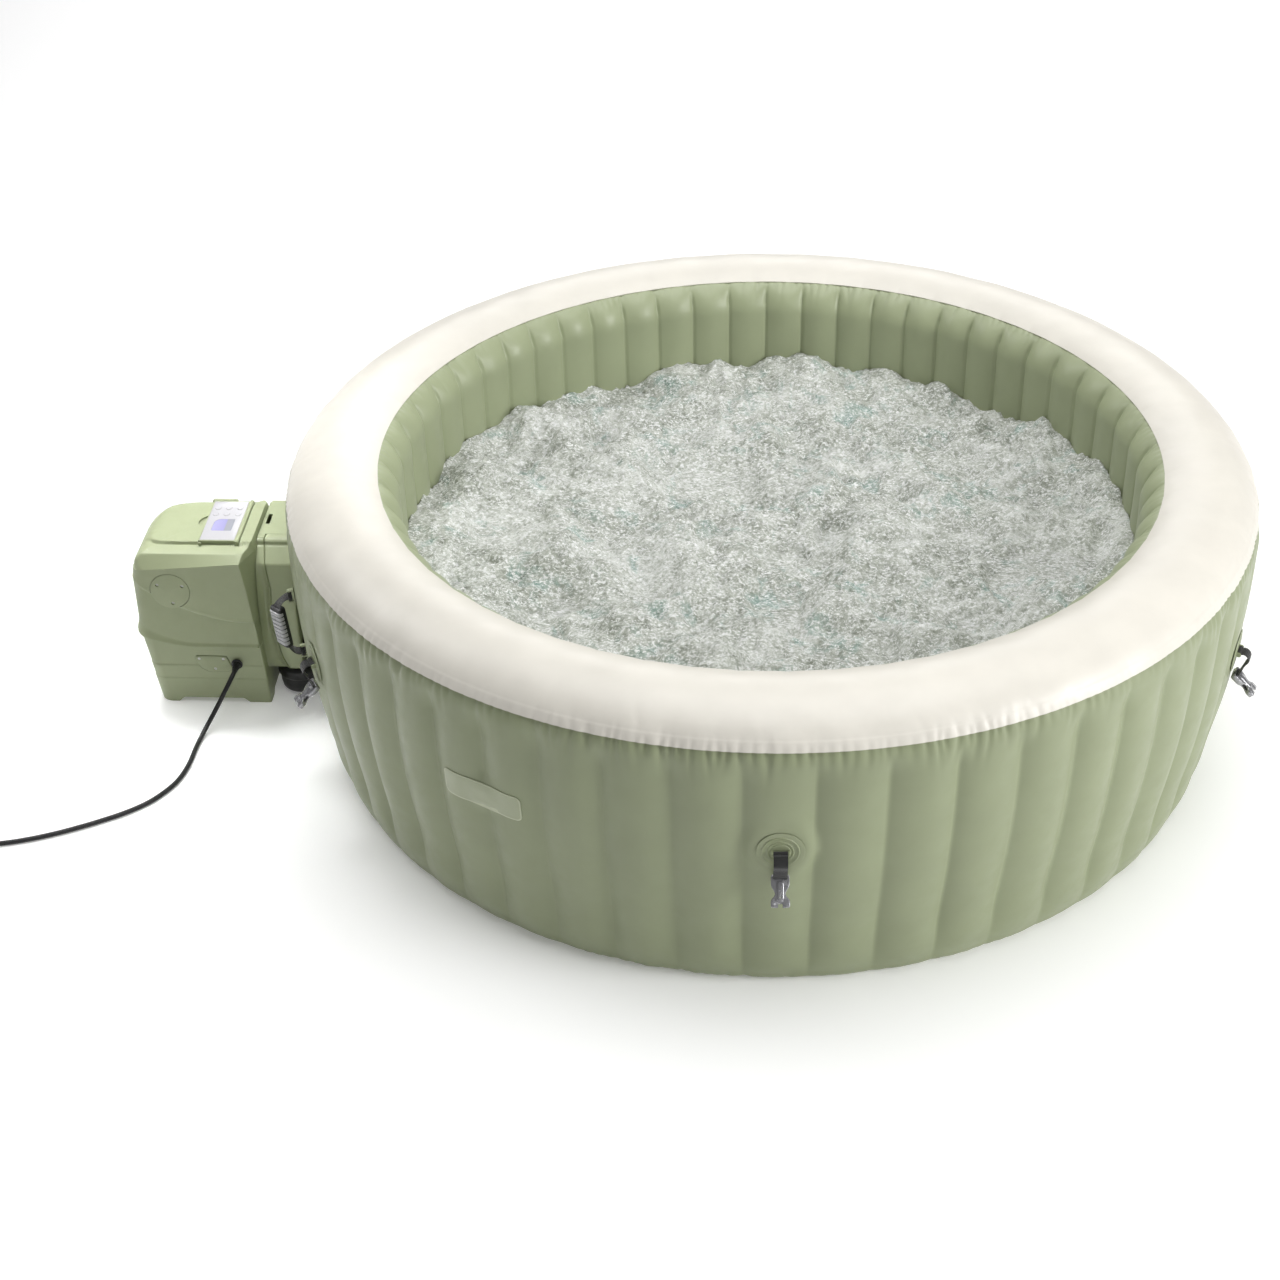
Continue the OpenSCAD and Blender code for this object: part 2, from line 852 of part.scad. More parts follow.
module bridge_lid() {
    color(sage)
    difference() {
        union() {
            box([lid_x0, lid_y0, bridge_z1 - lid_t], [lid_hinge_x, lid_y1, bridge_z1]);
            translate([lid_hinge_x, 0, lid_hinge_z])
            rod_y(lid_y0, lid_y1, 3.5);
        }
        translate([lid_hinge_x, 0, lid_hinge_z])
        rod_y(lid_y0 - 1, lid_y1 + 1, 2 + fit);
        box([lid_x0 + 4, slot_y - 22, bridge_z1 - 10], [lid_x0 + 14, slot_y + 22, bridge_z1 + 1]);
    }
}

module hinge_pins() {
    color("silver") {
        translate([lid_hinge_x, 0, lid_hinge_z])
        rod_y(lid_y0 - 5, lid_y1 + 5, 2);
        translate([panel_hinge_x, 0, panel_hinge_z])
        rod_y(panel_y0 - 3, panel_y1 + 3, 2);
    }
}

module bridge_feet() {
    color(black)
    for (y = [-2, 132])
        translate([-1116, y, 0])
        rotate_extrude()
        polygon([[0, 0], [38, 0], [48, 8], [52, 26], [52, 44], [57, 48], [57, bridge_z0 - 6], [50, bridge_z0], [0, bridge_z0]]);
}

// Covers and screws on the front of the unit ----------------------------------

access_x = -1383;
access_z = 318;
access_r = 46;
plate_t = 1.6;
service_x = -1300;
service_z = 112;

module service_covers() {
    color(sage) {
        translate([access_x, 0, access_z])
        rod_y(unit_y0 - plate_t, unit_y0, access_r);
        translate([service_x, unit_y0, service_z])
        rotate([90, 0, 0])
        linear_extrude(plate_t)
        polygon([[-52, 22], [26, 22], [38, -14], [26, -22], [-20, -22], [-38, -12]]);
    }
}

screw_places = concat(
    [for (a = [25, 150, 275]) [access_x + 33 * cos(a), access_z + 33 * sin(a)]],
    [[service_x - 40, service_z + 14], [service_x + 18, service_z + 14], [service_x - 4, service_z - 14]]
);

module cover_screws() {
    color("silver")
    for (s = screw_places)
        translate([s[0], unit_y0 - plate_t, s[1]])
        difference() {
            rod_y(-1.8, 0, 3.2);
            box([-2.5, -2.5, -0.5], [2.5, -1, 0.5]);
            box([-0.5, -2.5, -2.5], [0.5, -1, 2.5]);
        }
}

// Inside the unit -------------------------------------------------------------

pump_x = -1395;
pump_z = 78;
blower_x = -1330;
blower_y = 50;
blower_z = 262;

module pump_housing() {
    color("dimgray")
    translate([pump_x, 0, pump_z])
    difference() {
        union() {
            rod_y(-60, -20, 46);
            rod_y(-78, -60, 24);
        }
        rod_y(-56, -24, 38);
        rod_y(-79, -50, 18);
        rod_y(-30, -10, 8);
    }
}

module pump_motor() {
    color("black")
    translate([pump_x, 0, pump_z])
    difference() {
        rod_y(-20, 90, 40);
        rod_y(-21, 40, 4 + fit);
    }
}

module pump_impeller() {
    color("gray")
    translate([pump_x, 0, pump_z])
    union() {
        rod_y(-28, -26, 34);
        rod_y(-46, 38, 4);
        for (i = [0:5])
            rotate([0, i * 60, 0])
            box([3, -44, -1.5], [33, -28, 1.5]);
    }
}

module heater_tube() {
    color("silver")
    translate([0, 140, 100])
    difference() {
        rod_x(-1405, -1240, 24);
        rod_x(-1406, -1239, 21);
    }
}

module blower_housing() {
    color("dimgray")
    translate([blower_x, blower_y, blower_z])
    difference() {
        cylinder(h = 46, r = 72);
        translate([0, 0, 4])
        cylinder(h = 38, r = 64);
        translate([0, 0, 30])
        cylinder(h = 20, r = 9);
        translate([0, 0, -1])
        cylinder(h = 10, r = 24);
    }
}

module blower_motor() {
    color("black")
    translate([blower_x, blower_y, blower_z + 46])
    difference() {
        cylinder(h = 50, r = 34);
        translate([0, 0, -1])
        cylinder(h = 35, r = 4 + fit);
    }
}

module blower_fan() {
    color("gray")
    translate([blower_x, blower_y, blower_z])
    union() {
        translate([0, 0, 8])
        cylinder(h = 2, r = 60);
        translate([0, 0, 8])
        cylinder(h = 70, r = 4);
        for (i = [0:11])
            rotate([0, 0, i * 30])
            box([40, -1, 9], [59, 1, 36]);
    }
}

module control_box() {
    color("ivory")
    box([-1462, -60, 190], [-1415, 60, 360]);
}

// Straight pipes from the wall tubes into the unit
module unit_pipes() {
    ends = [-1340, -1225, -1255];
    color("white")
    for (i = [0:2])
        translate([0, lines[i][0], lines[i][1]])
        difference() {
            rod_x(ends[i], port_x - 0.1, lines[i][2]);
            rod_x(ends[i] - 1, port_x, lines[i][2] - 4);
        }
}

// Power cord --------------------------------------------------------------------

gland_x = -1249;
gland_z = 116;
gland_r = 9;
boot_l = 32;

module cable_gland() {
    color(black)
    translate([gland_x, unit_y0, gland_z])
    union() {
        rod_y(-2.5, 0, 13);
        rod_y(-2.5, 12, gland_r);
        rotate([90, 0, 0])
        cylinder(h = boot_l, r1 = 9, r2 = 6.2);
    }
}

cord_r = cord_d / 2;
// From the boot down to the floor and away to the coil
cord_route = [
    [-1249, -122, 116], [-1249, -128, 116], [-1251, -138, 113], [-1257, -150, 103], [-1266, -161, 88],
    [-1276, -171, 70],
    [-1287, -180, 51], [-1298, -191, 33], [-1308, -207, 18], [-1315, -229, 9], [-1319, -254, 5.6],
    [-1321, -281, 5.5], [-1321, -308, 5.5], [-1322, -335, 5.5], [-1325, -362, 5.5], [-1330, -388, 5.5],
    [-1338, -414, 5.5], [-1350, -438, 5.5], [-1364, -461, 5.5], [-1380, -482, 5.5], [-1399, -501, 5.5],
    [-1420, -518, 5.5], [-1442, -534, 5.5], [-1465, -548, 5.5], [-1488, -562, 5.5], [-1512, -575, 5.5],
    [-1536, -588, 5.5], [-1561, -600, 5.5], [-1586, -611, 5.5], [-1612, -621, 5.5], [-1638, -630, 5.5],
    [-1665, -637, 5.5], [-1692, -643, 5.5], [-1720, -647, 5.5], [-1748, -649, 5.5], [-1776, -650, 5.5],
    [-1800, -650, 5.5]
];
coil_x = -1822;
coil_y = -650 + coil_r + cord_r;
coil_h = 55;
coil_w = 22;

function unit_of(v) = v / norm(v);
function heading(i) = unit_of(
    cord_route[min(i + 1, len(cord_route) - 1)] - cord_route[max(i - 1, 0)]
);
// A ring of points square to the route, its side vector kept level
function ring(i, sides) =
    let (t = heading(i), across = unit_of(cross(t, [0, 0, 1])), up = cross(across, t))
    [for (k = [0:sides - 1]) let (a = 360 * (k + 0.5) / sides)
        cord_route[i] + cord_r * (cos(a) * across - sin(a) * up)];

module cord_tube() {
    sides = 10;
    last = len(cord_route) - 1;
    points = [for (i = [0:last]) each ring(i, sides)];
    color(black)
    polyhedron(
        points = points,
        faces = concat(
            [[for (k = [0:sides - 1]) k]],
            [for (i = [0:last - 1]) for (k = [0:sides - 1])
                let (n = (k + 1) % sides, a = i * sides, b = a + sides) [a + k, b + k, b + n, a + n]],
            [[for (k = [sides - 1:-1:0]) last * sides + k]]
        ),
        convexity = 6
    );
}

module cord_coil() {
    color(black)
    translate([coil_x, coil_y, 0])
    rotate_extrude()
    translate([coil_r - coil_w / 2, 0])
    square([coil_w, coil_h]);
}

plug_r = 18;
plug_angle = 40; // where the plug lies on the coil

// A straight plug that lies along the top of the coil
module power_plug() {
    color(black)
    translate([coil_x, coil_y, coil_h + plug_r])
    rotate([0, 0, plug_angle])
    translate([coil_r, 0, 0])
    union() {
        rod_y(-20, 18, plug_r);
        rotate([-90, 0, 0])
        translate([0, 0, 18])
        cylinder(h = 26, r1 = 9, r2 = 6.2);
        for (x = [-9.5, 9.5])
            translate([x, 0, 0])
            rod_y(-43, -19, 2.4);
    }
}

base_sheet();
outer_wall();
inner_wall();
rim_cover();
wall_webs();
air_jet_ring();
label_plate();
strap_patches();
handle_patches();
strap_webbing(0);  // strap_webbing_1
strap_webbing(1);  // strap_webbing_2
strap_webbing(2);  // strap_webbing_3
strap_webbing(3);  // strap_webbing_4
strap_webbing(4);  // strap_webbing_5
strap_buckle(0);  // strap_buckle_1
strap_buckle(1);  // strap_buckle_2
strap_buckle(2);  // strap_buckle_3
strap_buckle(3);  // strap_buckle_4
strap_buckle(4);  // strap_buckle_5
handle_webbing(0);  // handle_webbing_1
handle_webbing(1);  // handle_webbing_2
handle_grip(0);  // handle_grip_1
handle_grip(1);  // handle_grip_2
valve_bodies();
inflation_cap();
drain_cap();
wall_fittings();
union_collars();
pool_grilles();
unit_base();
unit_housing();
unit_top_cover();
bridge_housing();
bridge_lid();
bridge_feet();
hinge_pins();
panel_frame();
panel_plate();
display_window();
key(0);  // key_power
key(1);  // key_heater
key(2);  // key_bubbles
key(3);  // key_filter
key(4);  // key_warmer
key(5);  // key_cooler
service_covers();
cover_screws();
pump_housing();
pump_motor();
pump_impeller();
heater_tube();
blower_housing();
blower_motor();
blower_fan();
control_box();
unit_pipes();
cable_gland();
cord_tube();
cord_coil();
power_plug();
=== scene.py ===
"""Looks of the inflatable hot tub and its pump unit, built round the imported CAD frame. Metres, +Z up.

The tables of shapes that mm, stack, lathe, rod, block and box_outline take are in millimetres.
"""
import math

import bpy
import numpy as np
from mathutils import Matrix, Vector, noise


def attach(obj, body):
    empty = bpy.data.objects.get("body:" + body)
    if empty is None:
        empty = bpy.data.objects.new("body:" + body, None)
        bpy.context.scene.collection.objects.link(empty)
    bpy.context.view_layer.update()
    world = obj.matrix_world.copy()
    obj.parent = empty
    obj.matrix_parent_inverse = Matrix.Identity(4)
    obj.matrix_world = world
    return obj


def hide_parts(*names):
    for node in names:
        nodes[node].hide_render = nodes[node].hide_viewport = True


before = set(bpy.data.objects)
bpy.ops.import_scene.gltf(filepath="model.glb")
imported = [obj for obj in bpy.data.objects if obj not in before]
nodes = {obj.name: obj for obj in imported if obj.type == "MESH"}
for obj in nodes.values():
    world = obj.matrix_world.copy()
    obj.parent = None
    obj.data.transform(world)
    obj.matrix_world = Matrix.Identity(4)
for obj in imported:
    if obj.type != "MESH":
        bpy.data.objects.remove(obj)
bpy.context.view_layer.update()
scene = bpy.context.scene
scene.view_settings.view_transform = "Standard"

# -------------------- sizes shared with the CAD model
TUB_R, BASE_R, HEEL_R = 1.080, 1.000, 0.028
POOL_R, POOL_BASE_R = 0.825, 0.795
RIM_A, RIM_B, RIM_C, RIM_Z = 0.1275, 0.099, 0.9525, 0.592  # the rim's oval: half axes, then its centre
OUTER_SEAM, INNER_SEAM = 19.5, 130.5  # the rim's two welds, in degrees round its oval
STRAPS = [-88, -20, 46, 138, 206]  # degrees round the tub
PATCH_Z, PATCH_PIN = 0.393, 0.008  # height of the strap patches, and how far their pins stand off
HANDLES = [193.5, 13.5]
HANDLE_Z, HANDLE_HALF, HANDLE_PIN = 0.345, 0.075, 0.011
GLAND = (-1.249, -0.122, 0.116)  # where the power lead leaves its boot
UNIT_FRONT = -0.090
WATER_Z = 0.468
MM = 0.001


def wall_r(z):
    t = np.clip(1 - np.asarray(z, float) / RIM_Z, 0, 1)
    return BASE_R + (TUB_R - BASE_R) * (1 - t**2.5)


def pool_r(z):
    return POOL_BASE_R + (POOL_R - POOL_BASE_R) * np.sin(np.radians(90 * np.clip(z / RIM_Z, 0, 1)))


def pose(x=0.0, y=0.0, z=0.0, degrees=0, axis="Z"):
    """Frame at a point, turned about one axis."""
    return Matrix.Translation((x, y, z)) @ Matrix.Rotation(math.radians(degrees), 4, axis)


def on_wall(angle, z):
    """Frame on the outer wall: X out of the wall, Y sideways, Z up along the wall."""
    lean = math.atan((wall_r(z + 0.005) - wall_r(z - 0.005)) / 0.01)
    return pose(degrees=angle) @ pose(float(wall_r(z)), 0, z, math.degrees(lean), "Y")


# -------------------- camera
def make_camera():
    yaw, pitch, roll = -0.0683, 0.597, -0.0214
    ahead = Vector((math.sin(yaw) * math.cos(pitch), math.cos(yaw) * math.cos(pitch), -math.sin(pitch)))
    level = Vector((math.cos(yaw), -math.sin(yaw), 0))
    above = level.cross(ahead)
    right = level * math.cos(roll) + above * math.sin(roll)
    up = above * math.cos(roll) - level * math.sin(roll)
    data = bpy.data.cameras.new("camera")
    data.sensor_width, data.lens = 36, 61.875
    data.clip_end = 60
    camera = bpy.data.objects.new("camera", data)
    turn = Matrix((right, up, -ahead)).transposed().to_4x4()
    camera.matrix_world = Matrix.Translation((0, -4.316, 3.083)) @ turn
    scene.collection.objects.link(camera)
    scene.camera = camera


make_camera()


# -------------------- materials
def srgb(r, g, b):
    """Linear colour from 0-255 values."""
    shares = (r / 255, g / 255, b / 255)
    return tuple(c / 12.92 if c <= 0.04045 else ((c + 0.055) / 1.055) ** 2.4 for c in shares)


class Finish:
    """A Principled material with procedural detail."""

    def __init__(self, name, base, rough, **sockets):
        self.mat = bpy.data.materials.new(name)
        self.mat.use_nodes = True
        self.tree = self.mat.node_tree
        self.bsdf = self.tree.nodes["Principled BSDF"]
        self.bsdf.inputs["Base Color"].default_value = (*base, 1)
        self.bsdf.inputs["Roughness"].default_value = rough
        for key, value in sockets.items():
            self.bsdf.inputs[key.replace("_", " ")].default_value = value
        self.base, self.normal = base, None
        self.coords = self.tree.nodes.new("ShaderNodeTexCoord")

    def node(self, kind, **inputs):
        """A shader node with its inputs linked or set. Input names have _ for spaces."""
        n = self.tree.nodes.new("ShaderNode" + kind)
        for key, value in inputs.items():
            self.feed(n.inputs[key.replace("_", " ")], value)
        return n

    def feed(self, socket, value):
        if isinstance(value, bpy.types.NodeSocket):
            self.tree.links.new(value, socket)
        else:
            socket.default_value = value

    def source(self, space="Object", scale=(1, 1, 1)):
        return self.node("Mapping", Scale=scale, Vector=self.coords.outputs[space]).outputs["Vector"]

    def noise(self, scale, detail=4.0, roughness=0.55, distortion=0.0, vector=None):
        t = self.node("TexNoise", Scale=scale, Detail=detail, Roughness=roughness, Distortion=distortion,
                      Vector=vector or self.source())
        return t.outputs["Fac"]

    def wave(self, scale, vector, direction):
        t = self.node("TexWave", Scale=scale, Vector=vector)
        t.bands_direction = direction
        return t.outputs["Fac"]

    def ramp(self, fac, *stops):
        """Colours, or grey shares, at places from 0 to 1."""
        t = self.node("ValToRGB", Fac=fac)
        while len(t.color_ramp.elements) < len(stops):
            t.color_ramp.elements.new(0.5)
        for e, (at, c) in zip(t.color_ramp.elements, stops):
            e.position = at
            e.color = (*np.broadcast_to(c, 3), 1)
        return t.outputs["Color"]

    def math(self, operation, a, b):
        t = self.node("Math")
        t.operation = operation
        self.feed(t.inputs[0], a)
        self.feed(t.inputs[1], b)
        return t.outputs[0]

    def mix(self, fac, a, colour):
        """Goes from a socket's colour to a fixed colour as fac rises."""
        t = self.node("Mix")
        t.data_type = "RGBA"
        named = {s.identifier: s for s in t.inputs}
        self.feed(named["Factor_Float"], fac)
        self.feed(named["A_Color"], a)
        self.feed(named["B_Color"], (*colour, 1))
        return next(s for s in t.outputs if s.identifier == "Result_Color")

    def tint(self, socket):
        self.feed(self.bsdf.inputs["Base Color"], socket)

    def mottle(self, amount, scale, detail=5.0):
        """Base colour wanders by a share of itself."""
        dark = [c * (1 - amount) for c in self.base]
        light = [min(1, c * (1 + amount)) for c in self.base]
        self.tint(self.ramp(self.noise(scale, detail), (0.3, dark), (0.7, light)))

    def vary_rough(self, low, high, scale):
        self.feed(self.bsdf.inputs["Roughness"], self.ramp(self.noise(scale, 3), (0.35, low), (0.65, high)))

    def bump(self, height, distance, strength):
        t = self.node("Bump", Strength=strength, Distance=distance, Height=height)
        if self.normal is not None:
            self.feed(t.inputs["Normal"], self.normal)
        self.normal = t.outputs["Normal"]
        self.feed(self.bsdf.inputs["Normal"], self.normal)


def plain(name, base, rough, mottle, bumps, vary=None, **sockets):
    """Mottled colour and fine bumps, each (noise scale, detail, depth, strength). vary: low, high, scale."""
    f = Finish(name, base, rough, **sockets)
    f.mottle(*mottle)
    if vary:
        f.vary_rough(*vary)
    for scale, detail, depth, strength in bumps:
        f.bump(f.noise(scale, detail), depth, strength)
    return f


def vinyl(name, base, rough=0.42):
    return plain(name, base, rough, (0.035, 9), [(14, 3, 0.0016, 0.35), (900, 2, 0.00012, 0.5)],
                 (rough - 0.05, rough + 0.07, 25), Coat_Weight=0.12, Coat_Roughness=0.35)


def moulded(name, base, rough=0.45, grain=1400):
    return plain(name, base, rough, (0.03, 22), [(grain, 2, 0.00012, 0.6)], (rough - 0.05, rough + 0.08, 60),
                 Specular_IOR_Level=0.45)


M = {
    "green": vinyl("sage_vinyl", srgb(142, 150, 117)),
    "pool": vinyl("pool_vinyl", srgb(160, 168, 135)),
    "cream": vinyl("cream_vinyl", srgb(220, 216, 206), 0.4),
    "web": vinyl("web_vinyl", srgb(220, 220, 215), 0.5),
    "shell": moulded("sage_moulding", srgb(156, 164, 130)),
    "black": moulded("black_moulding", srgb(26, 26, 27), 0.42),
    "grey_grip": moulded("grey_grip", srgb(168, 168, 170), 0.32),
    "white": moulded("white_moulding", srgb(222, 222, 218), 0.4),
    "ivory": moulded("ivory_box", srgb(214, 210, 196), 0.5),
    "dark": moulded("glass_filled", srgb(56, 57, 59), 0.55, 900),
    "buckle": plain("buckle_acetal", srgb(160, 160, 163), 0.24, (0.12, 60), [(220, 3, 0.0002, 0.5)],
                    (0.16, 0.3, 80), Metallic=0.6, Coat_Weight=1.0, Coat_Roughness=0.08),
    "steel": plain("steel", (0.62, 0.62, 0.61), 0.3, (0.08, 120), [], Metallic=1.0),
    "enamel": plain("enamel", srgb(38, 40, 44), 0.35, (0.1, 50), [(500, 3, 0.0002, 0.5)], Metallic=0.3),
    "rubber": plain("cord_rubber", srgb(22, 22, 23), 0.48, (0.15, 70), [(600, 3, 0.0002, 0.6)],
                    (0.4, 0.58, 40)),
    "panel": plain("overlay_film", srgb(184, 183, 187), 0.16, (0.015, 30), [(90, 2, 0.00015, 0.3)],
                   Coat_Weight=0.5, Coat_Roughness=0.05),
    "badge": plain("badge_film", srgb(163, 170, 139), 0.35, (0.03, 40), [(300, 2, 0.0001, 0.5)],
                   Coat_Weight=0.3),
    "badge_edge": plain("badge_edge", srgb(188, 194, 165), 0.4, (0.05, 40), [(300, 2, 0.0001, 0.5)]),
}


def weave_web():
    f = M["web"]
    f.bump(f.math("ADD", f.wave(260, f.source(), "Z"), f.wave(260, f.source(), "Y")), 0.0002, 0.5)


def brush_steel():
    f = M["steel"]
    f.bump(f.noise(60, 2, vector=f.source(scale=(1, 12, 12))), 0.0001, 0.6)


def webbing_finish():
    """Woven webbing: the cloth's own u and v are in metres."""
    f = Finish("webbing", srgb(17, 17, 18), 0.62, Sheen_Weight=0.4, Sheen_Roughness=0.4)
    twill = f.math("MULTIPLY", f.wave(170, f.source("UV"), "X"), f.wave(230, f.source("UV"), "Y"))
    worn = f.math("MULTIPLY", twill, f.noise(400, 2))
    f.tint(f.ramp(worn, (0.05, srgb(9, 9, 10)), (0.5, srgb(42, 41, 42))))
    f.bump(twill, 0.0005, 0.9)
    f.bump(f.noise(2500, 2), 0.0001, 0.5)
    return f


def display_finish():
    """Tinted window that goes from lilac to grey along u."""
    f = Finish("display", srgb(170, 168, 205), 0.08, Coat_Weight=0.8, Coat_Roughness=0.03)
    along = f.node("SeparateXYZ", Vector=f.source("UV")).outputs[0]
    f.tint(f.ramp(along, (0.0, srgb(162, 160, 200)), (0.6, srgb(148, 145, 190)), (0.66, srgb(146, 148, 156))))
    f.bump(f.wave(120, f.source("UV"), "Y"), 0.00005, 0.3)
    return f


def foam_finish():
    """Broad grey and pale areas, green glints, dark gaps and white flecks."""
    f = Finish("foam", (0.62, 0.66, 0.62), 0.35, Specular_IOR_Level=0.4)
    warp = f.source(scale=(1, 1.2, 1))
    broad, middle = f.noise(6, 4, 0.6, 0.6, warp), f.noise(34, 6, 0.72, 0.9, warp)
    fine = f.noise(150, 5, 0.8, 0.5, f.source(scale=(0.75, 1.35, 1)))
    blend = f.math("ADD", f.math("MULTIPLY", broad, 0.42), f.math("MULTIPLY", middle, 0.58))
    shades = srgb(150, 155, 142), srgb(187, 191, 180), srgb(222, 225, 218)
    body = f.ramp(blend, *zip((0.40, 0.49, 0.60), shades))
    body = f.mix(f.ramp(f.noise(10, 4, 0.65, 0.6), (0.55, 0.0), (0.70, 0.7)), body, srgb(132, 172, 163))
    body = f.mix(f.ramp(fine, (0.36, 0.45), (0.45, 0.0)), body, srgb(118, 123, 110))
    f.tint(f.mix(f.ramp(fine, (0.50, 0.0), (0.57, 1.0)), body, srgb(254, 255, 254)))
    f.bump(middle, 0.010, 0.7)
    f.bump(fine, 0.004, 0.9)
    return f


weave_web()
brush_steel()
M["webbing"], M["display"], M["foam"] = webbing_finish(), display_finish(), foam_finish()


# -------------------- parts: (verts, faces) pairs
def mm(*rows):
    """Rows of millimetres, in metres."""
    return np.array(rows, float) * MM


def smooth(t):
    t = np.clip(t, 0, 1)
    return t * t * (3 - 2 * t)


def bell(x):
    return np.exp(-(x**2))


def stations(ends, counts):
    """Places from the first end to the last, with its own count in each stretch."""
    runs = [np.linspace(a, b, n) for a, b, n in zip(ends, ends[1:], counts)]
    return np.concatenate([runs[0]] + [run[1:] for run in runs[1:]])


def swapped(axes, x=0.0, y=0.0, z=0.0):
    """Frame at a point whose own X, Y and Z lie along the three named axes."""
    m = np.eye(4)
    m[:3, :3] = [[float(name == row) for name in axes] for row in "xyz"]
    m[:3, 3] = x, y, z
    return Matrix(m)


def grid_faces(rows, cols, wrap):
    """Quads of a grid of points numbered row by row."""
    c = np.arange(cols if wrap else cols - 1)
    n = (c + 1) % cols
    base = np.arange(rows - 1)[:, None] * cols
    quads = np.stack([base + c, base + n, base + cols + n, base + cols + c], -1)
    return quads.reshape(-1, 4).tolist()


def ring_mesh(rings):
    """Closed skin over rings of points, each an array (n, 3), with flat or pointed ends."""
    rows, cols = len(rings), len(rings[0])
    faces = grid_faces(rows, cols, True)
    faces.append(list(range(cols))[::-1])
    faces.append([(rows - 1) * cols + k for k in range(cols)])
    return np.concatenate(rings), faces


def merge(parts):
    """Several parts as one."""
    verts, faces, shift = [], [], 0
    for v, f in parts:
        verts.append(v)
        faces += [[k + shift for k in face] for face in f]
        shift += len(v)
    return np.concatenate(verts), faces


def moved(part, matrix):
    verts, faces = part
    m = np.array(matrix)
    return verts @ m[:3, :3].T + m[:3, 3], faces


def rounded(corners, arc, sides):
    """Outline with an arc at each corner (x, y, radius), counterclockwise. sides: the parts of each run."""
    p = np.array([c[:2] for c in corners], float)
    arcs = []
    for i, (x, y, r) in enumerate(corners):
        d0, d1 = p[i] - p[i - 1], p[(i + 1) % len(p)] - p[i]
        d0, d1 = d0 / np.linalg.norm(d0), d1 / np.linalg.norm(d1)
        turn = math.atan2(d0[0] * d1[1] - d0[1] * d1[0], d0 @ d1)
        start = p[i] - d0 * r * math.tan(abs(turn) / 2)
        arm = np.array([d0[1], -d0[0]]) * math.copysign(r, turn)
        a = np.linspace(0, turn, arc + 1)[:, None]
        arcs.append(start - arm + arm * np.cos(a) + np.array([-arm[1], arm[0]]) * np.sin(a))
    out = []
    for here, ahead, parts in zip(arcs, arcs[1:] + arcs[:1], sides):
        out.append(here)
        out += [(here[-1] + (ahead[0] - here[-1]) * k / parts)[None] for k in range(1, parts)]
    return np.concatenate(out)


def box_outline(x0, x1, y0, y1, radii, arc=8, side=1):
    """Outline of a box with round corners, in mm. radii: one, or one each for x0y0, x1y0, x1y1 and x0y1."""
    corners = np.column_stack([(x0, x1, x1, x0), (y0, y0, y1, y1), np.broadcast_to(radii, 4)])
    return rounded(corners * MM, arc, [side] * 4)


def outline_normals(p):
    d = np.roll(p, -1, 0) - np.roll(p, 1, 0)
    d /= np.maximum(np.linalg.norm(d, axis=1), 1e-9)[:, None]
    return np.stack([d[:, 1], -d[:, 0]], -1)


def stack(outline, levels, fill=0):
    """Solid from an outline. levels: (inset, height) in mm. fill: rings on the top, so that it can bend."""
    n = outline_normals(outline)
    rings = [np.column_stack([outline - n * i, np.full(len(n), h)]) for i, h in mm(*levels)]
    if fill:
        last, middle = rings[-1], rings[-1].mean(0)
        rings += [middle + (last - middle) * (1 - k / fill) for k in range(1, fill)]
    return ring_mesh(rings)


def block(x0, x1, y0, y1, radii, low, high, arc=5, side=1):
    """Straight solid over a rounded box, in mm."""
    return stack(box_outline(x0, x1, y0, y1, radii, arc, side), [(0, low), (0, high)])


def mirrored(levels, middle=0.0):
    """Levels (inset, height over the middle), with the same below the middle."""
    return [(i, middle - h) for i, h in levels[::-1]] + [(i, middle + h) for i, h in levels]


def lathe(profile, n, matrix=Matrix()):
    """Solid of revolution about Z from (radius, height) pairs in mm."""
    a = np.linspace(0, 2 * np.pi, n, endpoint=False)
    rings = [np.column_stack([r * np.cos(a), r * np.sin(a), np.full(n, h)]) for r, h in mm(*profile)]
    return moved(ring_mesh(rings), matrix)


def rod(r, low, high, n, matrix=Matrix()):
    return lathe([(0, low), (r, low), (r, high), (0, high)], n, matrix)


# -------------------- objects and pieces
def new_object(name, data):
    o = bpy.data.objects.new(name, data)
    scene.collection.objects.link(o)
    return o


def make(name, part, finish, sharp=None, uv=None):
    """A smooth-shaded mesh object. uv is one pair per vertex. Edges sharper than sharp degrees stay sharp."""
    mesh = bpy.data.meshes.new(name)
    mesh.from_pydata(part[0].tolist(), [], part[1])
    if uv is not None:
        loops = np.zeros(len(mesh.loops), np.int32)
        mesh.loops.foreach_get("vertex_index", loops)
        mesh.uv_layers.new(name="UVMap").data.foreach_set("uv", np.asarray(uv, np.float32)[loops].ravel())
    mesh.shade_smooth()
    if sharp:
        mesh.set_sharp_from_angle(angle=math.radians(sharp))
    mesh.materials.append(finish.mat)
    return new_object(name, mesh)


def carved(part, cuts, operation="DIFFERENCE", bevel=0.0):
    """A part after exact booleans with other parts, and with its edges bevelled."""
    body, *tools = [make("carving", p, M["shell"]) for p in (part, *cuts)]
    for tool in tools:
        m = body.modifiers.new("boolean", "BOOLEAN")
        m.operation, m.solver, m.object = operation, "EXACT", tool
    if bevel:
        m = body.modifiers.new("bevel", "BEVEL")
        m.width, m.segments, m.limit_method, m.angle_limit = bevel, 2, "ANGLE", math.radians(40)
    graph = bpy.context.evaluated_depsgraph_get()
    graph.update()
    mesh = bpy.data.meshes.new_from_object(body.evaluated_get(graph))
    result = np.array([tuple(v.co) for v in mesh.vertices]), [list(f.vertices) for f in mesh.polygons]
    for o in (body, *tools):
        bpy.data.objects.remove(o)
    return result


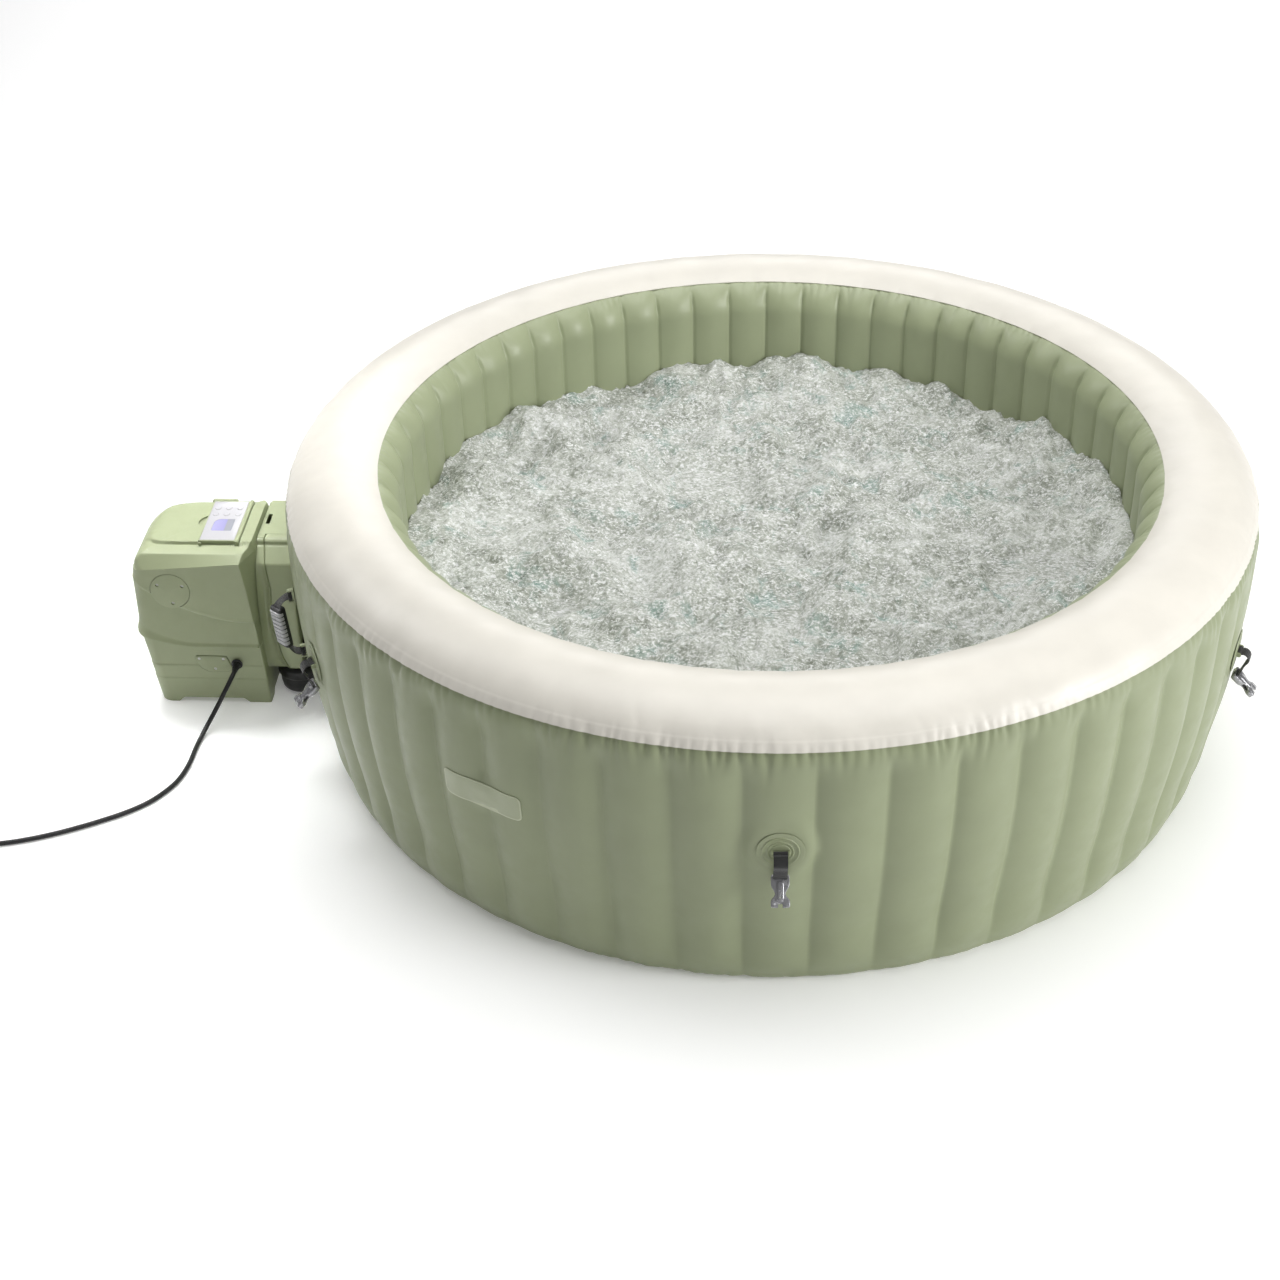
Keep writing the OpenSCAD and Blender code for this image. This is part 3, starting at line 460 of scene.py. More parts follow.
def piece(name, part, node=None, material="shell", body="tub", sharp=35, cuts=(), uv=None):
    """A visible piece, the body that it rides on and the CAD node that it replaces."""
    if cuts:
        part = carved(part, cuts)
    o = make(name, part, M[material], sharp, uv)
    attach(o, body)
    if node:
        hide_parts(node)


# -------------------- power lead
CORD_R = 0.0055
COIL = Vector((-1.822, -0.5785, 0))
COIL_R = 0.066
PLUG_AT = 40  # angle on the coil where the plug lies


def cord_points():
    """The route from the gland over the floor, then the turns of the coil and on to the plug."""
    hanging = mm(
        (-1249, -122, 116), (-1249, -128, 116), (-1251, -138, 113), (-1257, -150, 103), (-1266, -161, 88),
        (-1276, -171, 70), (-1287, -180, 51), (-1298, -191, 33), (-1308, -207, 18), (-1315, -229, 9),
        (-1319, -254, 5.6),
    )
    floor = mm(
        (-1321, -281), (-1321, -308), (-1322, -335), (-1325, -362), (-1330, -388), (-1338, -414),
        (-1350, -438), (-1364, -461), (-1380, -482), (-1399, -501), (-1420, -518), (-1442, -534),
        (-1465, -548), (-1488, -562), (-1512, -575), (-1536, -588), (-1561, -600), (-1586, -611),
        (-1612, -621), (-1638, -630), (-1665, -637), (-1692, -643), (-1720, -647), (-1748, -649),
        (-1776, -650), (-1800, -650),
    )
    points = [Vector(p) for p in hanging] + [Vector((x, y, CORD_R)) for x, y in floor]
    d = 2 * CORD_R
    outer, inner, hole = COIL_R + CORD_R, COIL_R - CORD_R, COIL_R - 3 * CORD_R
    low, top = CORD_R, CORD_R + 4 * d
    column = 4 * 360  # degrees that one column of the coil turns
    # (turned angle, radius, height): up the outer column, down the inner one, up the hole, over the top
    keys = [
        (0, outer, low), (column, outer, top), (column + 90, inner, top), (2 * column + 90, inner, low),
        (2 * column + 150, hole, low), (2 * column + 640, hole, top + d),
        (2 * column + 800, COIL_R - 0.003, top + 1.5 * d),
    ]
    for (a0, r0, z0), (a1, r1, z1) in zip(keys, keys[1:]):
        steps = max(2, round((a1 - a0) / 12))
        steady = r0 == r1 and a1 - a0 == column
        for k in range(1, steps + 1):
            t = k / steps
            a, s = math.radians(-90 - (a0 + (a1 - a0) * t)), smooth(t)
            r, z = r0 + (r1 - r0) * s, z0 + (z1 - z0) * (t if steady else s)
            points.append(COIL + Vector((r * math.cos(a), r * math.sin(a), z)))
    return points


def plug_frame():
    """Frame of the plug: origin at its middle, on the coil, with its boot at +Y."""
    a = math.radians(PLUG_AT)
    return Matrix.Translation(COIL) @ pose(COIL_R * math.cos(a), COIL_R * math.sin(a), 0.073, PLUG_AT)


def make_cord():
    points = cord_points()
    end = plug_frame() @ Vector((0, 0.044, 0))
    before = points[-1]
    points += [before.lerp(end, 0.35) + Vector((0, 0, 0.001)), before.lerp(end, 0.7), end]
    curve = bpy.data.curves.new("power_lead", "CURVE")
    curve.dimensions = "3D"
    spline = curve.splines.new("NURBS")
    spline.points.add(len(points) - 1)
    for target, p in zip(spline.points, points):
        target.co = (*p, 1)
    spline.order_u = 3
    spline.use_endpoint_u = True
    spline.resolution_u = 3
    curve.bevel_depth, curve.bevel_resolution = CORD_R, 3
    curve.use_fill_caps = True
    curve.materials.append(M["rubber"].mat)
    return new_object("power_lead", curve)


def make_gland():
    """Clamp ring on the housing, ribbed boot and its lip."""
    profile = [(0, 1), (12.8, 0), (13.5, -1.2), (13.2, -2.8), (10.5, -3.6), (9.2, -5)]
    for k in range(6):
        z, r = -7.5 - k * 3.6, 9.0 - k * 0.42
        profile += [(r, z), (r, z - 1.4), (r - 1.4, z - 1.8), (r - 1.4, z - 3)]
    profile += [(6.6, -30), (6.2, -32), (0, -32.2)]
    place = pose(GLAND[0], UNIT_FRONT, GLAND[2], -90, "X")
    return make("gland_boot", lathe(profile, 40, place), M["rubber"], 50)


def make_plug():
    """Round two-pin plug: face at local -Y, ribbed waist, boot at +Y."""
    body = [(0, -20.5), (14.5, -20.5), (15, -20), (15.2, -18.5), (17.2, -18.5), (18, -17.5), (18, -10.5),
            (17.4, -9.5)]
    for k in range(5):
        z, r = -8.8 + k * 3.6, 17.2 - k * 0.7
        body += [(r - 0.6, z), (r, z + 0.8), (r, z + 2.2)]
    body += [(13, 11.5), (11.2, 16.5), (10, 18.5)]
    for k in range(4):
        z, r = 20 + k * 5.2, 9.2 - k * 0.65
        body += [(r, z), (r + 0.5, z + 1.2), (r + 0.2, z + 3), (r - 0.9, z + 3.4), (r - 0.9, z + 4.8)]
    body += [(6.8, 41.2), (6.2, 43.8), (0, 44)]
    pin = [(0, -43), (1.2, -42.9), (2.1, -42), (2.4, -40.5), (2.4, -32), (2, -31.5), (2, -20), (0, -19.8)]
    parts = [lathe(body, 44, pose(degrees=-90, axis="X"))]
    parts += [lathe(pin, 20, pose(x, 0, 0, -90, "X")) for x in (-0.0095, 0.0095)]
    return make("plug", moved(merge(parts), plug_frame()), M["rubber"], 40)


lead, gland, plug = make_cord(), make_gland(), make_plug()
for item in (lead, gland, plug):
    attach(item, "tub")
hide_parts("cord_tube", "cord_coil")
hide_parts("cable_gland")
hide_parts("power_plug")


# -------------------- inflated skins
PANELS, POOL_PANELS = 52, 58
SEAM_DEPTH, POOL_SEAM_DEPTH = 0.0155, 0.0105
BAND = 0.023  # width of the welded band at the edge of the rim
WALL_R, RIM_R, POOL_WALL_R = 1.07, 0.95, 0.83  # mean radii, for lengths round the tub
BADGE_ANGLE, BADGE_Z = -121, 0.393
# Places where something is welded on, so the panels lie flat: (angle, height, radius)
FLAT = [(a, PATCH_Z, 0.050) for a in STRAPS]
FLAT += [(a, HANDLE_Z + s * HANDLE_HALF, 0.028) for a in HANDLES for s in (-1, 1)]
FLAT += [(150, 0.300, 0.040), (62, 0.078, 0.036), (BADGE_ANGLE, BADGE_Z, 0.020)]


def panel_angle(x):
    """Angle in degrees of panel edge x - 0.5 or panel middle x. The widths wander a little round the tub."""
    a = x * 360 / PANELS
    return -88.15 + a + 1.5 * np.sin(np.radians(3 * a))


def directions(count):
    return np.linspace(0, 2 * np.pi, count, endpoint=False)


def turned_from(theta, angle):
    """Signed angle from one direction to others, all in radians."""
    return (theta - angle + np.pi) % (2 * np.pi) - np.pi


def across_panel(theta):
    """The number of the panel at each angle, and the place in it: 0 in the middle, -1 and 1 at the seams."""
    edges = np.radians(panel_angle(np.arange(PANELS + 1) - 0.5))
    t = (theta - edges[0]) % (2 * np.pi) + edges[0]
    k = np.clip(np.searchsorted(edges, t, side="right") - 1, 0, PANELS - 1)
    return k, 2 * (t - edges[k]) / (edges[k + 1] - edges[k]) - 1


def path_length(p):
    return np.concatenate([[0], np.cumsum(np.linalg.norm(np.diff(p, axis=0), axis=1))])


def resample(p, at):
    s = path_length(p)
    return np.column_stack([np.interp(at, s, p[:, k]) for k in range(2)])


def profile_normals(p):
    d = np.gradient(p, axis=0)
    d /= np.linalg.norm(d, axis=1)[:, None]
    return np.column_stack([d[:, 1], -d[:, 0]])


def oval(angle):
    a = np.radians(angle)
    return np.column_stack([RIM_C + RIM_A * np.cos(a), RIM_Z + RIM_B * np.sin(a)])


def revolve(profile, normals, depth, theta):
    """Points of a profile turned through theta (radians), pushed along its normals by depth[row, column]."""
    r = profile[:, 0, None] + depth * normals[:, 0, None]
    z = profile[:, 1, None] + depth * normals[:, 1, None]
    return np.stack([r * np.cos(theta), r * np.sin(theta), z], -1)


def puckers(rng, count, span, amp, length, width):
    """Short folds across a seam: (angle, depth, length, width, slant) each."""
    place = (np.arange(count) + rng.uniform(-0.32, 0.32, count)) * 2 * np.pi / count
    swell = 0.62 + 0.38 * np.sin(place * 7 + 1.3) * np.sin(place * 3 + 0.4)
    return np.column_stack([
        place,
        amp * swell * rng.uniform(0.45, 1.15, count),
        length * (0.45 + 0.55 * swell) * rng.uniform(0.5, 1.3, count),
        width * rng.uniform(0.75, 1.3, count),
        rng.uniform(-span, span, count),
    ])


def fold_depth(theta, s, folds, radius):
    """Depth of the folds at arc length s from their seam, as rows, and angle theta, as columns."""
    depth = np.zeros((len(s), len(theta)))
    for place, amp, length, width, slant in folds:
        d = turned_from(theta, place)
        near = np.flatnonzero(np.abs(d) * radius < 4 * width + abs(slant) * length * 2)
        x = d[near] * radius - slant * s[:, None]
        opens = width * (1 + 0.5 * np.clip(s / length, 0, 2))[:, None]
        depth[:, near] -= amp * bell(s / length)[:, None] * bell(x / opens)
    return depth


def lumps(theta, height, seed, amount):
    """Slow, shallow unevenness of an inflated skin."""
    rng, count = np.random.default_rng(seed), 14
    depth = np.zeros((len(height), len(theta)))
    for _ in range(count):
        n, m = rng.integers(5, 60), rng.uniform(2, 16)
        depth += np.sin(n * theta + rng.uniform(0, 6.3)) * np.sin(m * height + rng.uniform(0, 6.3))[:, None]
    return depth * amount / count


def flat_share(theta, z):
    """1 where something is welded on, falling to 0 round it."""
    share = np.zeros((len(z), len(theta)))
    for angle, height, radius in FLAT:
        away = np.hypot(turned_from(theta, math.radians(angle)) * WALL_R, (z - height)[:, None])
        share = np.maximum(share, 1 - smooth((away - radius) / 0.035))
    return share


def skin(name, points, along, radius, material, node, sharp=None):
    """Piece from a closed grid of points, with u round the tub and v along its rows, both in metres."""
    columns = points.shape[1]
    uv = np.stack(np.broadcast_arrays(directions(columns) * radius, along[:, None]), -1).reshape(-1, 2)
    part = points.reshape(-1, 3), grid_faces(len(points), columns, True)
    piece(name, part, node, material, "tub", sharp, uv=uv)


rng = np.random.default_rng(11)
TOP_FOLDS = puckers(rng, PANELS * 6, 0.14, 0.0066, 0.052, 0.0046)
FOOT_FOLDS = puckers(rng, PANELS * 6, 0.3, 0.0042, 0.020, 0.0060)


def make_outer_skin():
    """The outer wall, from under its heel to the rim's outer seam. Returns its grid of points."""
    theta = directions(PANELS * 30)
    heel = np.radians(np.linspace(-90, -25, 12))
    heel_c = float(wall_r(HEEL_R)) - HEEL_R
    z = np.linspace(HEEL_R, RIM_Z, 60)
    line = np.concatenate([
        np.column_stack([heel_c + HEEL_R * np.cos(heel), HEEL_R + HEEL_R * np.sin(heel)]),
        np.column_stack([wall_r(z), z]),
        oval(np.linspace(1, OUTER_SEAM + 2.5, 24)),
    ])
    total = path_length(line)[-1]
    at = stations((0, 0.07, total - 0.1, total), (20, 32, 34))
    p = resample(line, at)
    height = p[:, 1]
    free = 1 - flat_share(theta, height)
    from_top, from_foot = total - 0.005 - at, at - 0.012
    panel, place = across_panel(theta)
    lean = np.sin(panel * 2.4 + 0.5) * 0.12
    across = np.abs(place) ** 2.1 + lean * place * (1 - place**2)
    full = (0.16 + 0.84 * smooth(from_top / 0.085)) * (0.05 + 0.95 * smooth(at / 0.15))
    depth = -full[:, None] * SEAM_DEPTH * across * (0.08 + 0.92 * free)
    depth += fold_depth(theta, from_top, TOP_FOLDS, WALL_R)
    depth += fold_depth(theta, np.abs(from_foot), FOOT_FOLDS, 1.02)
    depth += lumps(theta, height, 3, 0.0042) * smooth(at / 0.05)[:, None] * free
    # the foot is a little fuller than the CAD wall, except behind the bridge
    fuller = smooth((np.abs(theta - np.pi) - 0.18) / 0.10) * free
    depth += 0.010 * bell((height - 0.06) / 0.07)[:, None] * fuller
    # a soft crease that runs off the front patch
    u = (math.radians(STRAPS[0]) - theta) * WALL_R
    crease_z = PATCH_Z - 0.055 - 0.45 * np.clip(u - 0.05, 0, 1)
    window = smooth((u - 0.05) / 0.03) * smooth((0.20 - u) / 0.09)
    depth -= 0.0016 * window * bell((height[:, None] - crease_z) / 0.009)
    points = revolve(p, profile_normals(p), depth, theta)
    points[:, :, 2] = np.maximum(points[:, :, 2], 0.0006)
    skin("outer_skin", points, at, WALL_R, "green", "outer_wall")
    return points


def make_rim_skin():
    """The cream cover of the rim, with a welded band at its outer edge."""
    theta = directions(PANELS * 30)
    line = oval(np.linspace(OUTER_SEAM, INNER_SEAM, 400))
    total = path_length(line)[-1]
    at = stations((0, 0.05, total - 0.03, total), (22, 22, 8))
    p = resample(line, at)
    normals = profile_normals(p)
    lift, line_depth, band_lift, hem = 0.0012, 0.0007, 0.0006, 0.0035
    rise = lift - line_depth * bell((at - BAND) / 0.0018) + band_lift * (1 - smooth((at - BAND) / 0.004))
    folds = TOP_FOLDS.copy()
    folds[:, 1] *= 0.5
    folds[:, 2] = folds[:, 2] * 0.35 + 0.008
    depth = rise[:, None] + fold_depth(theta, at, folds, WALL_R)
    few = puckers(np.random.default_rng(5), 60, 0.5, 0.0009, 0.05, 0.007)
    depth += fold_depth(theta, np.abs(at - BAND - 0.01), few, 1.04)
    depth -= 0.0012 * across_panel(theta)[1] ** 2 * bell((at - 0.01) / 0.05)[:, None]
    in_pool_panel = np.abs(((theta * POOL_PANELS / (2 * np.pi)) % 1) * 2 - 1)
    depth -= 0.0014 * in_pool_panel**3 * bell((total - at) / 0.025)[:, None]
    depth += lumps(theta, at * 4, 8, 0.0030) * (smooth(at / 0.03) * smooth((total - at) / 0.03))[:, None]
    # both edges turn under, towards the skins that they are welded to
    points = np.concatenate([
        revolve(p[:1], normals[:1], depth[:1] - hem, theta),
        revolve(p, normals, depth, theta),
        revolve(p[-1:], normals[-1:], depth[-1:] - hem, theta),
    ])
    along = np.concatenate([[0], at, [total]])
    skin("rim_skin", points, along, RIM_R, "cream", "rim_cover", 60)


def make_pool_skin():
    """The inner wall, from the rim's inner seam down to the pool floor."""
    theta = directions(POOL_PANELS * 28)
    z = np.linspace(0.006, RIM_Z, 60)
    arc = oval(np.linspace(178, INNER_SEAM - 2.5, 40))
    line = np.concatenate([np.column_stack([pool_r(z), z]), arc])[::-1]
    total = path_length(line)[-1]
    at = stations((0, 0.09, 0.32, total), (26, 24, 9))
    p = resample(line, at)
    normals = profile_normals(p)
    inward = np.where((normals[:, 0] < 0)[:, None], normals, -normals)
    x = theta * POOL_PANELS / (2 * np.pi) + 0.35 + 0.06 * np.sin(5 * theta + 1)
    place = (x % 1) * 2 - 1
    q = np.abs(place)
    to_seam = (1 - q) * np.pi / POOL_PANELS * POOL_WALL_R
    lean = 0.16 * np.sin(np.floor(x) * 1.9)
    across = q**1.9 + lean * place * (1 - place**2)
    groove = (0.0030 + 0.0030 * bell((at - 0.045) / 0.022))[:, None] * bell(to_seam / 0.0030)
    full = 0.12 + 0.88 * smooth((at - 0.004) / 0.06)
    depth = -full[:, None] * (POOL_SEAM_DEPTH * across + groove)
    depth += 0.0016 * (1 - q**2) * bell((at - 0.06) / 0.05)[:, None]
    folds = puckers(np.random.default_rng(21), POOL_PANELS * 5, 0.22, 0.0030, 0.046, 0.0036)
    depth += fold_depth(theta, at, folds, 0.85)
    depth += lumps(theta, p[:, 1], 13, 0.0030) * smooth(at / 0.04)[:, None]
    # the edge stays under the rim cover
    depth -= 0.0012 * bell(at / 0.008)[:, None]
    points = revolve(p, inward, depth, theta)
    points[:, :, 2] = np.maximum(points[:, :, 2], 0.0045)
    skin("pool_skin", points, at, POOL_WALL_R, "pool", "inner_wall")


def make_webs():
    """Upright webs between the skins, one at each outer seam, set back from the valleys."""
    gap, half_thick = 0.004, 0.0007
    z = np.linspace(0.012, RIM_Z, 12)
    outer = np.column_stack([wall_r(np.maximum(z, HEEL_R)) - SEAM_DEPTH - gap, z])
    outer[z < 0.05, 0] -= 0.02
    inner = np.column_stack([pool_r(z) + POOL_SEAM_DEPTH + gap, z])[::-1]
    centre = np.array([RIM_C, RIM_Z])
    top = centre + (oval(np.array([50.0, 90.0, 130.0])) - centre) * (0.78, 0.8)
    profile = np.concatenate([outer, top, inner])
    parts = []
    for k in range(PANELS):
        a = float(np.radians(panel_angle(k - 0.5))) % (2 * math.pi)
        if abs(a - math.pi) < math.radians(11):
            continue  # the lines to the unit pass here
        rings = []
        for side in (half_thick, -half_thick):
            x = profile[:, 0] * math.cos(a) - side * math.sin(a)
            y = profile[:, 0] * math.sin(a) + side * math.cos(a)
            rings.append(np.column_stack([x, y, profile[:, 1]]))
        parts.append(ring_mesh(rings))
    piece("web_sheets", merge(parts), "wall_webs", "web", "tub", 30)


OUTER_POINTS = make_outer_skin()
make_rim_skin()
make_pool_skin()
make_webs()


# -------------------- bubbling water
def water_height(x, y):
    """Height of the foam over the water line at one place."""
    p = Vector((x, y, 0.3))
    swirl = noise.noise(p * 4.0) * 0.06
    q = Vector((p.x + swirl, p.y - swirl, 0.7))
    heap = noise.turbulence(q * 5.5, 3, False)
    froth = noise.turbulence(q * 24.0, 3, True)
    return 0.058 * (heap - 0.42) + 0.020 * (0.55 - froth) + 0.0026 * noise.noise(q * 150.0)


def make_water():
    """The foaming surface: a round sheet with a skirt, heaped up by turbulence."""
    n = 330
    u, v = np.meshgrid(np.linspace(-1, 1, n), np.linspace(-1, 1, n))
    x, y = u * np.sqrt(1 - v * v / 2), v * np.sqrt(1 - u * u / 2)
    r = np.hypot(x, y)
    reach = float(pool_r(WATER_Z)) + 0.004
    x, y = x * reach, y * reach
    z = np.array([water_height(a, b) for a, b in zip(x.ravel(), y.ravel())]).reshape(n, n)
    z = WATER_Z + z * (0.75 + 0.25 * smooth((1 - r) / 0.10)) + 0.012 * bell((1 - r) / 0.09)
    verts = np.stack([x, y, z], -1).reshape(-1, 3)
    grid = np.arange(n * n).reshape(n, n)
    rim = np.concatenate([grid[0], grid[1:, -1], grid[-1, -2::-1], grid[-2:0:-1, 0]])
    low = verts[rim].copy()
    low[:, 2] = WATER_Z - 0.05
    start, count = n * n, len(rim)
    faces = grid_faces(n, n, False)
    for i in range(count):
        j = (i + 1) % count
        faces.append([int(rim[j]), int(rim[i]), start + i, start + j])
    faces.append([start + i for i in range(count)][::-1])
    water = make("water_foam", (np.concatenate([verts, low]), faces), M["foam"])
    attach(water, "tub")


make_water()


# -------------------- badge, straps and handles
def skin_radius(points, angle, height):
    """Radius of the finished outer skin in one direction and at one height below the rim."""
    below_rim = 0.56
    columns = points.shape[1]
    at = angle / (2 * math.pi) * columns
    low = math.floor(at)
    radii = []
    for column in (low % columns, (low + 1) % columns):
        x, y, z = points[:, column].T
        rows = slice(0, int(np.argmax(z > below_rim)))
        radii.append(np.interp(height, z[rows], np.hypot(x, y)[rows]))
    return radii[0] + (radii[1] - radii[0]) * (at - low)


def make_badge():
    """Blank plate on the wall, with a thin border. It follows the bulges of the skin under it."""
    radius, gap, turn, half_tall, corner = 1.073, 0.0006, 10.2, 31, 13
    half = math.radians(turn) * radius / 2 / MM
    middle = BADGE_Z / MM
    outline = box_outline(-half, half, middle - half_tall, middle + half_tall, corner, 8, 24)
    border = stack(outline, [(0, 0.2), (0, 0.9), (0.6, 1.4), (2.2, 1.4), (3, 1.1)])
    plate = stack(outline, [(2.4, 0.4), (3, 1.2), (3.4, 1.3)], fill=10)
    border = border[0], border[1][:-1]  # without its last face, which the plate fills
    for name, (verts, faces), material, node in (("badge_border", border, "badge_edge", None),
                                                 ("badge_plate", plate, "badge", "label_plate")):
        a = math.radians(BADGE_ANGLE) + verts[:, 0] / radius
        r = np.array([skin_radius(OUTER_POINTS, b, z) for b, z in zip(a, verts[:, 1])]) + gap + verts[:, 2]
        placed = np.column_stack([r * np.cos(a), r * np.sin(a), verts[:, 1]])
        piece(name, (placed, faces), node, material, "tub", 50)


def make_anchors():
    """The welded discs with their beads, and the knuckles that the straps and handles turn on."""
    disc = [(0, 0), (46.2, 0), (47, 0.5), (46.6, 1.3), (45, 1.6), (37.2, 1.4)]
    for r in (35.8, 25.2):
        disc += [(r + 1.2, 1.7), (r, 2.8), (r - 1.6, 2.8), (r - 3, 1.8)]
    disc += [(20, 1.8), (19, 2.8), (0, 3)]
    pad = [(0, 0), (23.5, 0), (24, 0.6), (23.2, 1.6), (18, 2), (17, 3), (0, 3.2)]
    lug = box_outline(-5, 5, 0, 12.8, [0.5, 0.5, 4.8, 4.8], 6)
    levels = mirrored([(0, 1.4), (0.6, 2)])
    pin, out = rod(2.5, -15, 15, 24), pose(degrees=90, axis="Y")
    strap = [lathe(disc, 72, out), moved(pin, pose(PATCH_PIN, degrees=90, axis="X"))]
    strap += [moved(stack(lug, levels), swapped("zxy", y=s * 0.0163)) for s in (-1, 1)]
    handle = [lathe(pad, 48, out), moved(pin, pose(HANDLE_PIN))]
    handle += [moved(stack(lug + mm(0, 3), levels), swapped("yxz", z=s * 0.014)) for s in (-1, 1)]
    straps = [moved(merge(strap), on_wall(angle, PATCH_Z)) for angle in STRAPS]
    handles = [moved(merge(handle), on_wall(angle, HANDLE_Z) @ pose(z=s * HANDLE_HALF))
               for angle in HANDLES for s in (-1, 1)]
    piece("strap_anchors", merge(straps), "strap_patches", "green", "tub", 40)
    piece("handle_anchors", merge(handles), "handle_patches", "green", "tub", 40)


def webbing_strip(route):
    """Closed strip of webbing along a route in the local X-Z plane, as (verts, faces, uv)."""
    width, thick, steps = 0.0276, 0.0023, 10
    length = path_length(route)[-1]
    at = np.linspace(0, length, max(12, int(length / 0.0016)))
    # a smooth curve through the route's points, by cutting its corners
    for _ in range(3):
        inner = np.empty((2 * len(route) - 2, 2))
        inner[0::2] = route[1:] * 0.25 + route[:-1] * 0.75
        inner[1::2] = route[1:] * 0.75 + route[:-1] * 0.25
        route = np.concatenate([route[:1], inner, route[-1:]])
    line = resample(route, at * path_length(route)[-1] / length)
    across = np.linspace(-0.5, 0.5, steps + 1)
    section = [(a * width, 0.5 * thick * (1 - 0.25 * abs(2 * a) ** 6)) for a in across]
    section += [(a, -t) for a, t in section[::-1]]
    rings, uv = [], []
    for p, d, v in zip(line, profile_normals(line), at):
        rings.append(np.array([[p[0] + d[0] * t, a, p[1] + d[1] * t] for a, t in section]))
        uv += [(a, v) for a, t in section]
    return *ring_mesh(rings), np.array(uv)


def strap_route():
    angles = np.radians(range(75, -1, -15))
    arc = zip(15 + 16.5 * np.cos(angles), -14 + 16.5 * np.sin(angles))
    return mm((11.6, 0.5), (16, 2), *arc, (24, -27), (22, -37), (19, -46), (17, -53), (11.8, -60.2), (7, -66))


def buckle_part():
    """Socket half of a side-release buckle, along +X from the webbing bar, in the strap's frame."""
    half = 18.5
    # (distance along, how far its side lies inside the widest place)
    insets = [(0, 3), (1.2, 1.2), (4, 0.6), (12, 0.4), (20, 0.8), (25.2, 2.4), (29.8, 5.6), (34, 7.8),
              (38, 8), (42, 6.2), (45.6, 3), (48.4, 0.8), (52, 0), (59, 0), (61.8, 0.6), (62.8, 2.2)]
    side = mm(*[(x, half - inset) for x, inset in insets])
    body = stack(np.concatenate([side * (1, -1), side[::-1]]), mirrored([(0, 4.8), (0.4, 5.5), (1, 6)]))
    spine = stack(box_outline(13.5, 50, -6.5, 6.5, 5, 6, 4), [(0, 0), (0, 6.2), (1, 6.9), (2.4, 7.1)])
    cuts = [
        block(5, 9, -14.3, 14.3, 1.5, -20, 20, 4),
        block(55.5, 66, -4.5, 4.5, 1.2, -20, 20, 4),
        block(42.4, 45.6, -1.8, 1.8, 1.6, -20, 20),
        moved(block(-12.5, 12.5, -3.5, 3.5, 2, 25, 70, 4), swapped("yzx")),
    ]
    cuts += [block(30, 45.5, s * 17.5 - 9, s * 17.5 + 9, 3, -2.6, 2.6) for s in (-1, 1)]
    return carved(carved(body, [spine], "UNION"), cuts, bevel=0.0004)


def make_straps():
    buckle = buckle_part()
    verts, faces, uv = webbing_strip(strap_route())
    sleeve = lathe([(2.6, -13.6), (5, -13.8), (5.1, -10), (5.1, 10), (5, 13.8), (2.6, 13.6)], 28,
                   pose(PATCH_PIN, degrees=90, axis="X"))
    x, y, z = sleeve[0].T
    uv = np.concatenate([uv, np.column_stack([y, np.arctan2(z, x - PATCH_PIN) * 0.005])])
    web = merge([(verts, faces), sleeve])
    for i, angle in enumerate(STRAPS, 1):
        place, body = on_wall(angle, PATCH_Z), f"strap_{i}"
        piece(f"strap_web_{i}", moved(web, place), f"strap_webbing_{i}", "webbing", body,
              55, uv=uv)
        hanging = moved(buckle, place @ pose(0.006, 0, -0.056, 38, "Y"))
        piece(f"buckle_{i}", hanging, f"strap_buckle_{i}", "buckle", body, 38)


def make_handles():
    """Webbing and a grip with a flat-backed black core and a grey shell that carries the ribs."""
    out, twist = 0.046, 36  # the grip hangs a little twisted, and the webbing turns with it
    up = mm((14.6, 75), (21.5, 74.5), (30, 68.5), (38.5, 60), (44, 52.5), (46, 44), (46, 20))
    verts, faces, uv = webbing_strip(np.concatenate([up, up[::-1] * (1, -1)]))
    turn = math.radians(twist) * smooth((HANDLE_HALF - np.abs(verts[:, 2])) / 0.034)
    x, y = verts[:, 0] - out, verts[:, 1].copy()
    verts[:, 0] = out + x * np.cos(turn) - y * np.sin(turn)
    verts[:, 1] = x * np.sin(turn) + y * np.cos(turn)
    sleeves = [lathe([(2.6, -9.8), (5, -10), (5, 10), (2.6, 9.8)], 28, pose(HANDLE_PIN, 0, s * HANDLE_HALF))
               for s in (-1, 1)]
    uv = np.concatenate([uv] + [v[:, 1:] for v, f in sleeves])
    web = merge([(verts, faces)] + sleeves)
    core = stack(box_outline(-12.5, 7.2, -18.2, 18.2, 6, 6, 3), mirrored([(0, 48), (0.8, 50.8), (3, 52)]))
    bar = box_outline(-3, 10.5, -18.4, 18.4, [2, 7.5, 7.5, 2], 8, 3)
    ribs = merge([stack(bar, mirrored([(0, 3.4), (0.3, 4.3), (1.2, 4.8)], -38.5 + k * 11)) for k in range(8)])
    for i, angle in enumerate(HANDLES, 1):
        place, body = on_wall(angle, HANDLE_Z), f"handle_{i}"
        hanging = place @ pose(out, degrees=twist)
        piece(f"handle_web_{i}", moved(web, place), f"handle_webbing_{i}", "webbing", body,
              55, uv=uv)
        piece(f"grip_core_{i}", moved(core, hanging), f"handle_grip_{i}", "black", body, 40)
        piece(f"grip_ribs_{i}", moved(ribs, hanging), None, "grey_grip", body, 40)


make_badge()
make_anchors()
make_straps()
make_handles()


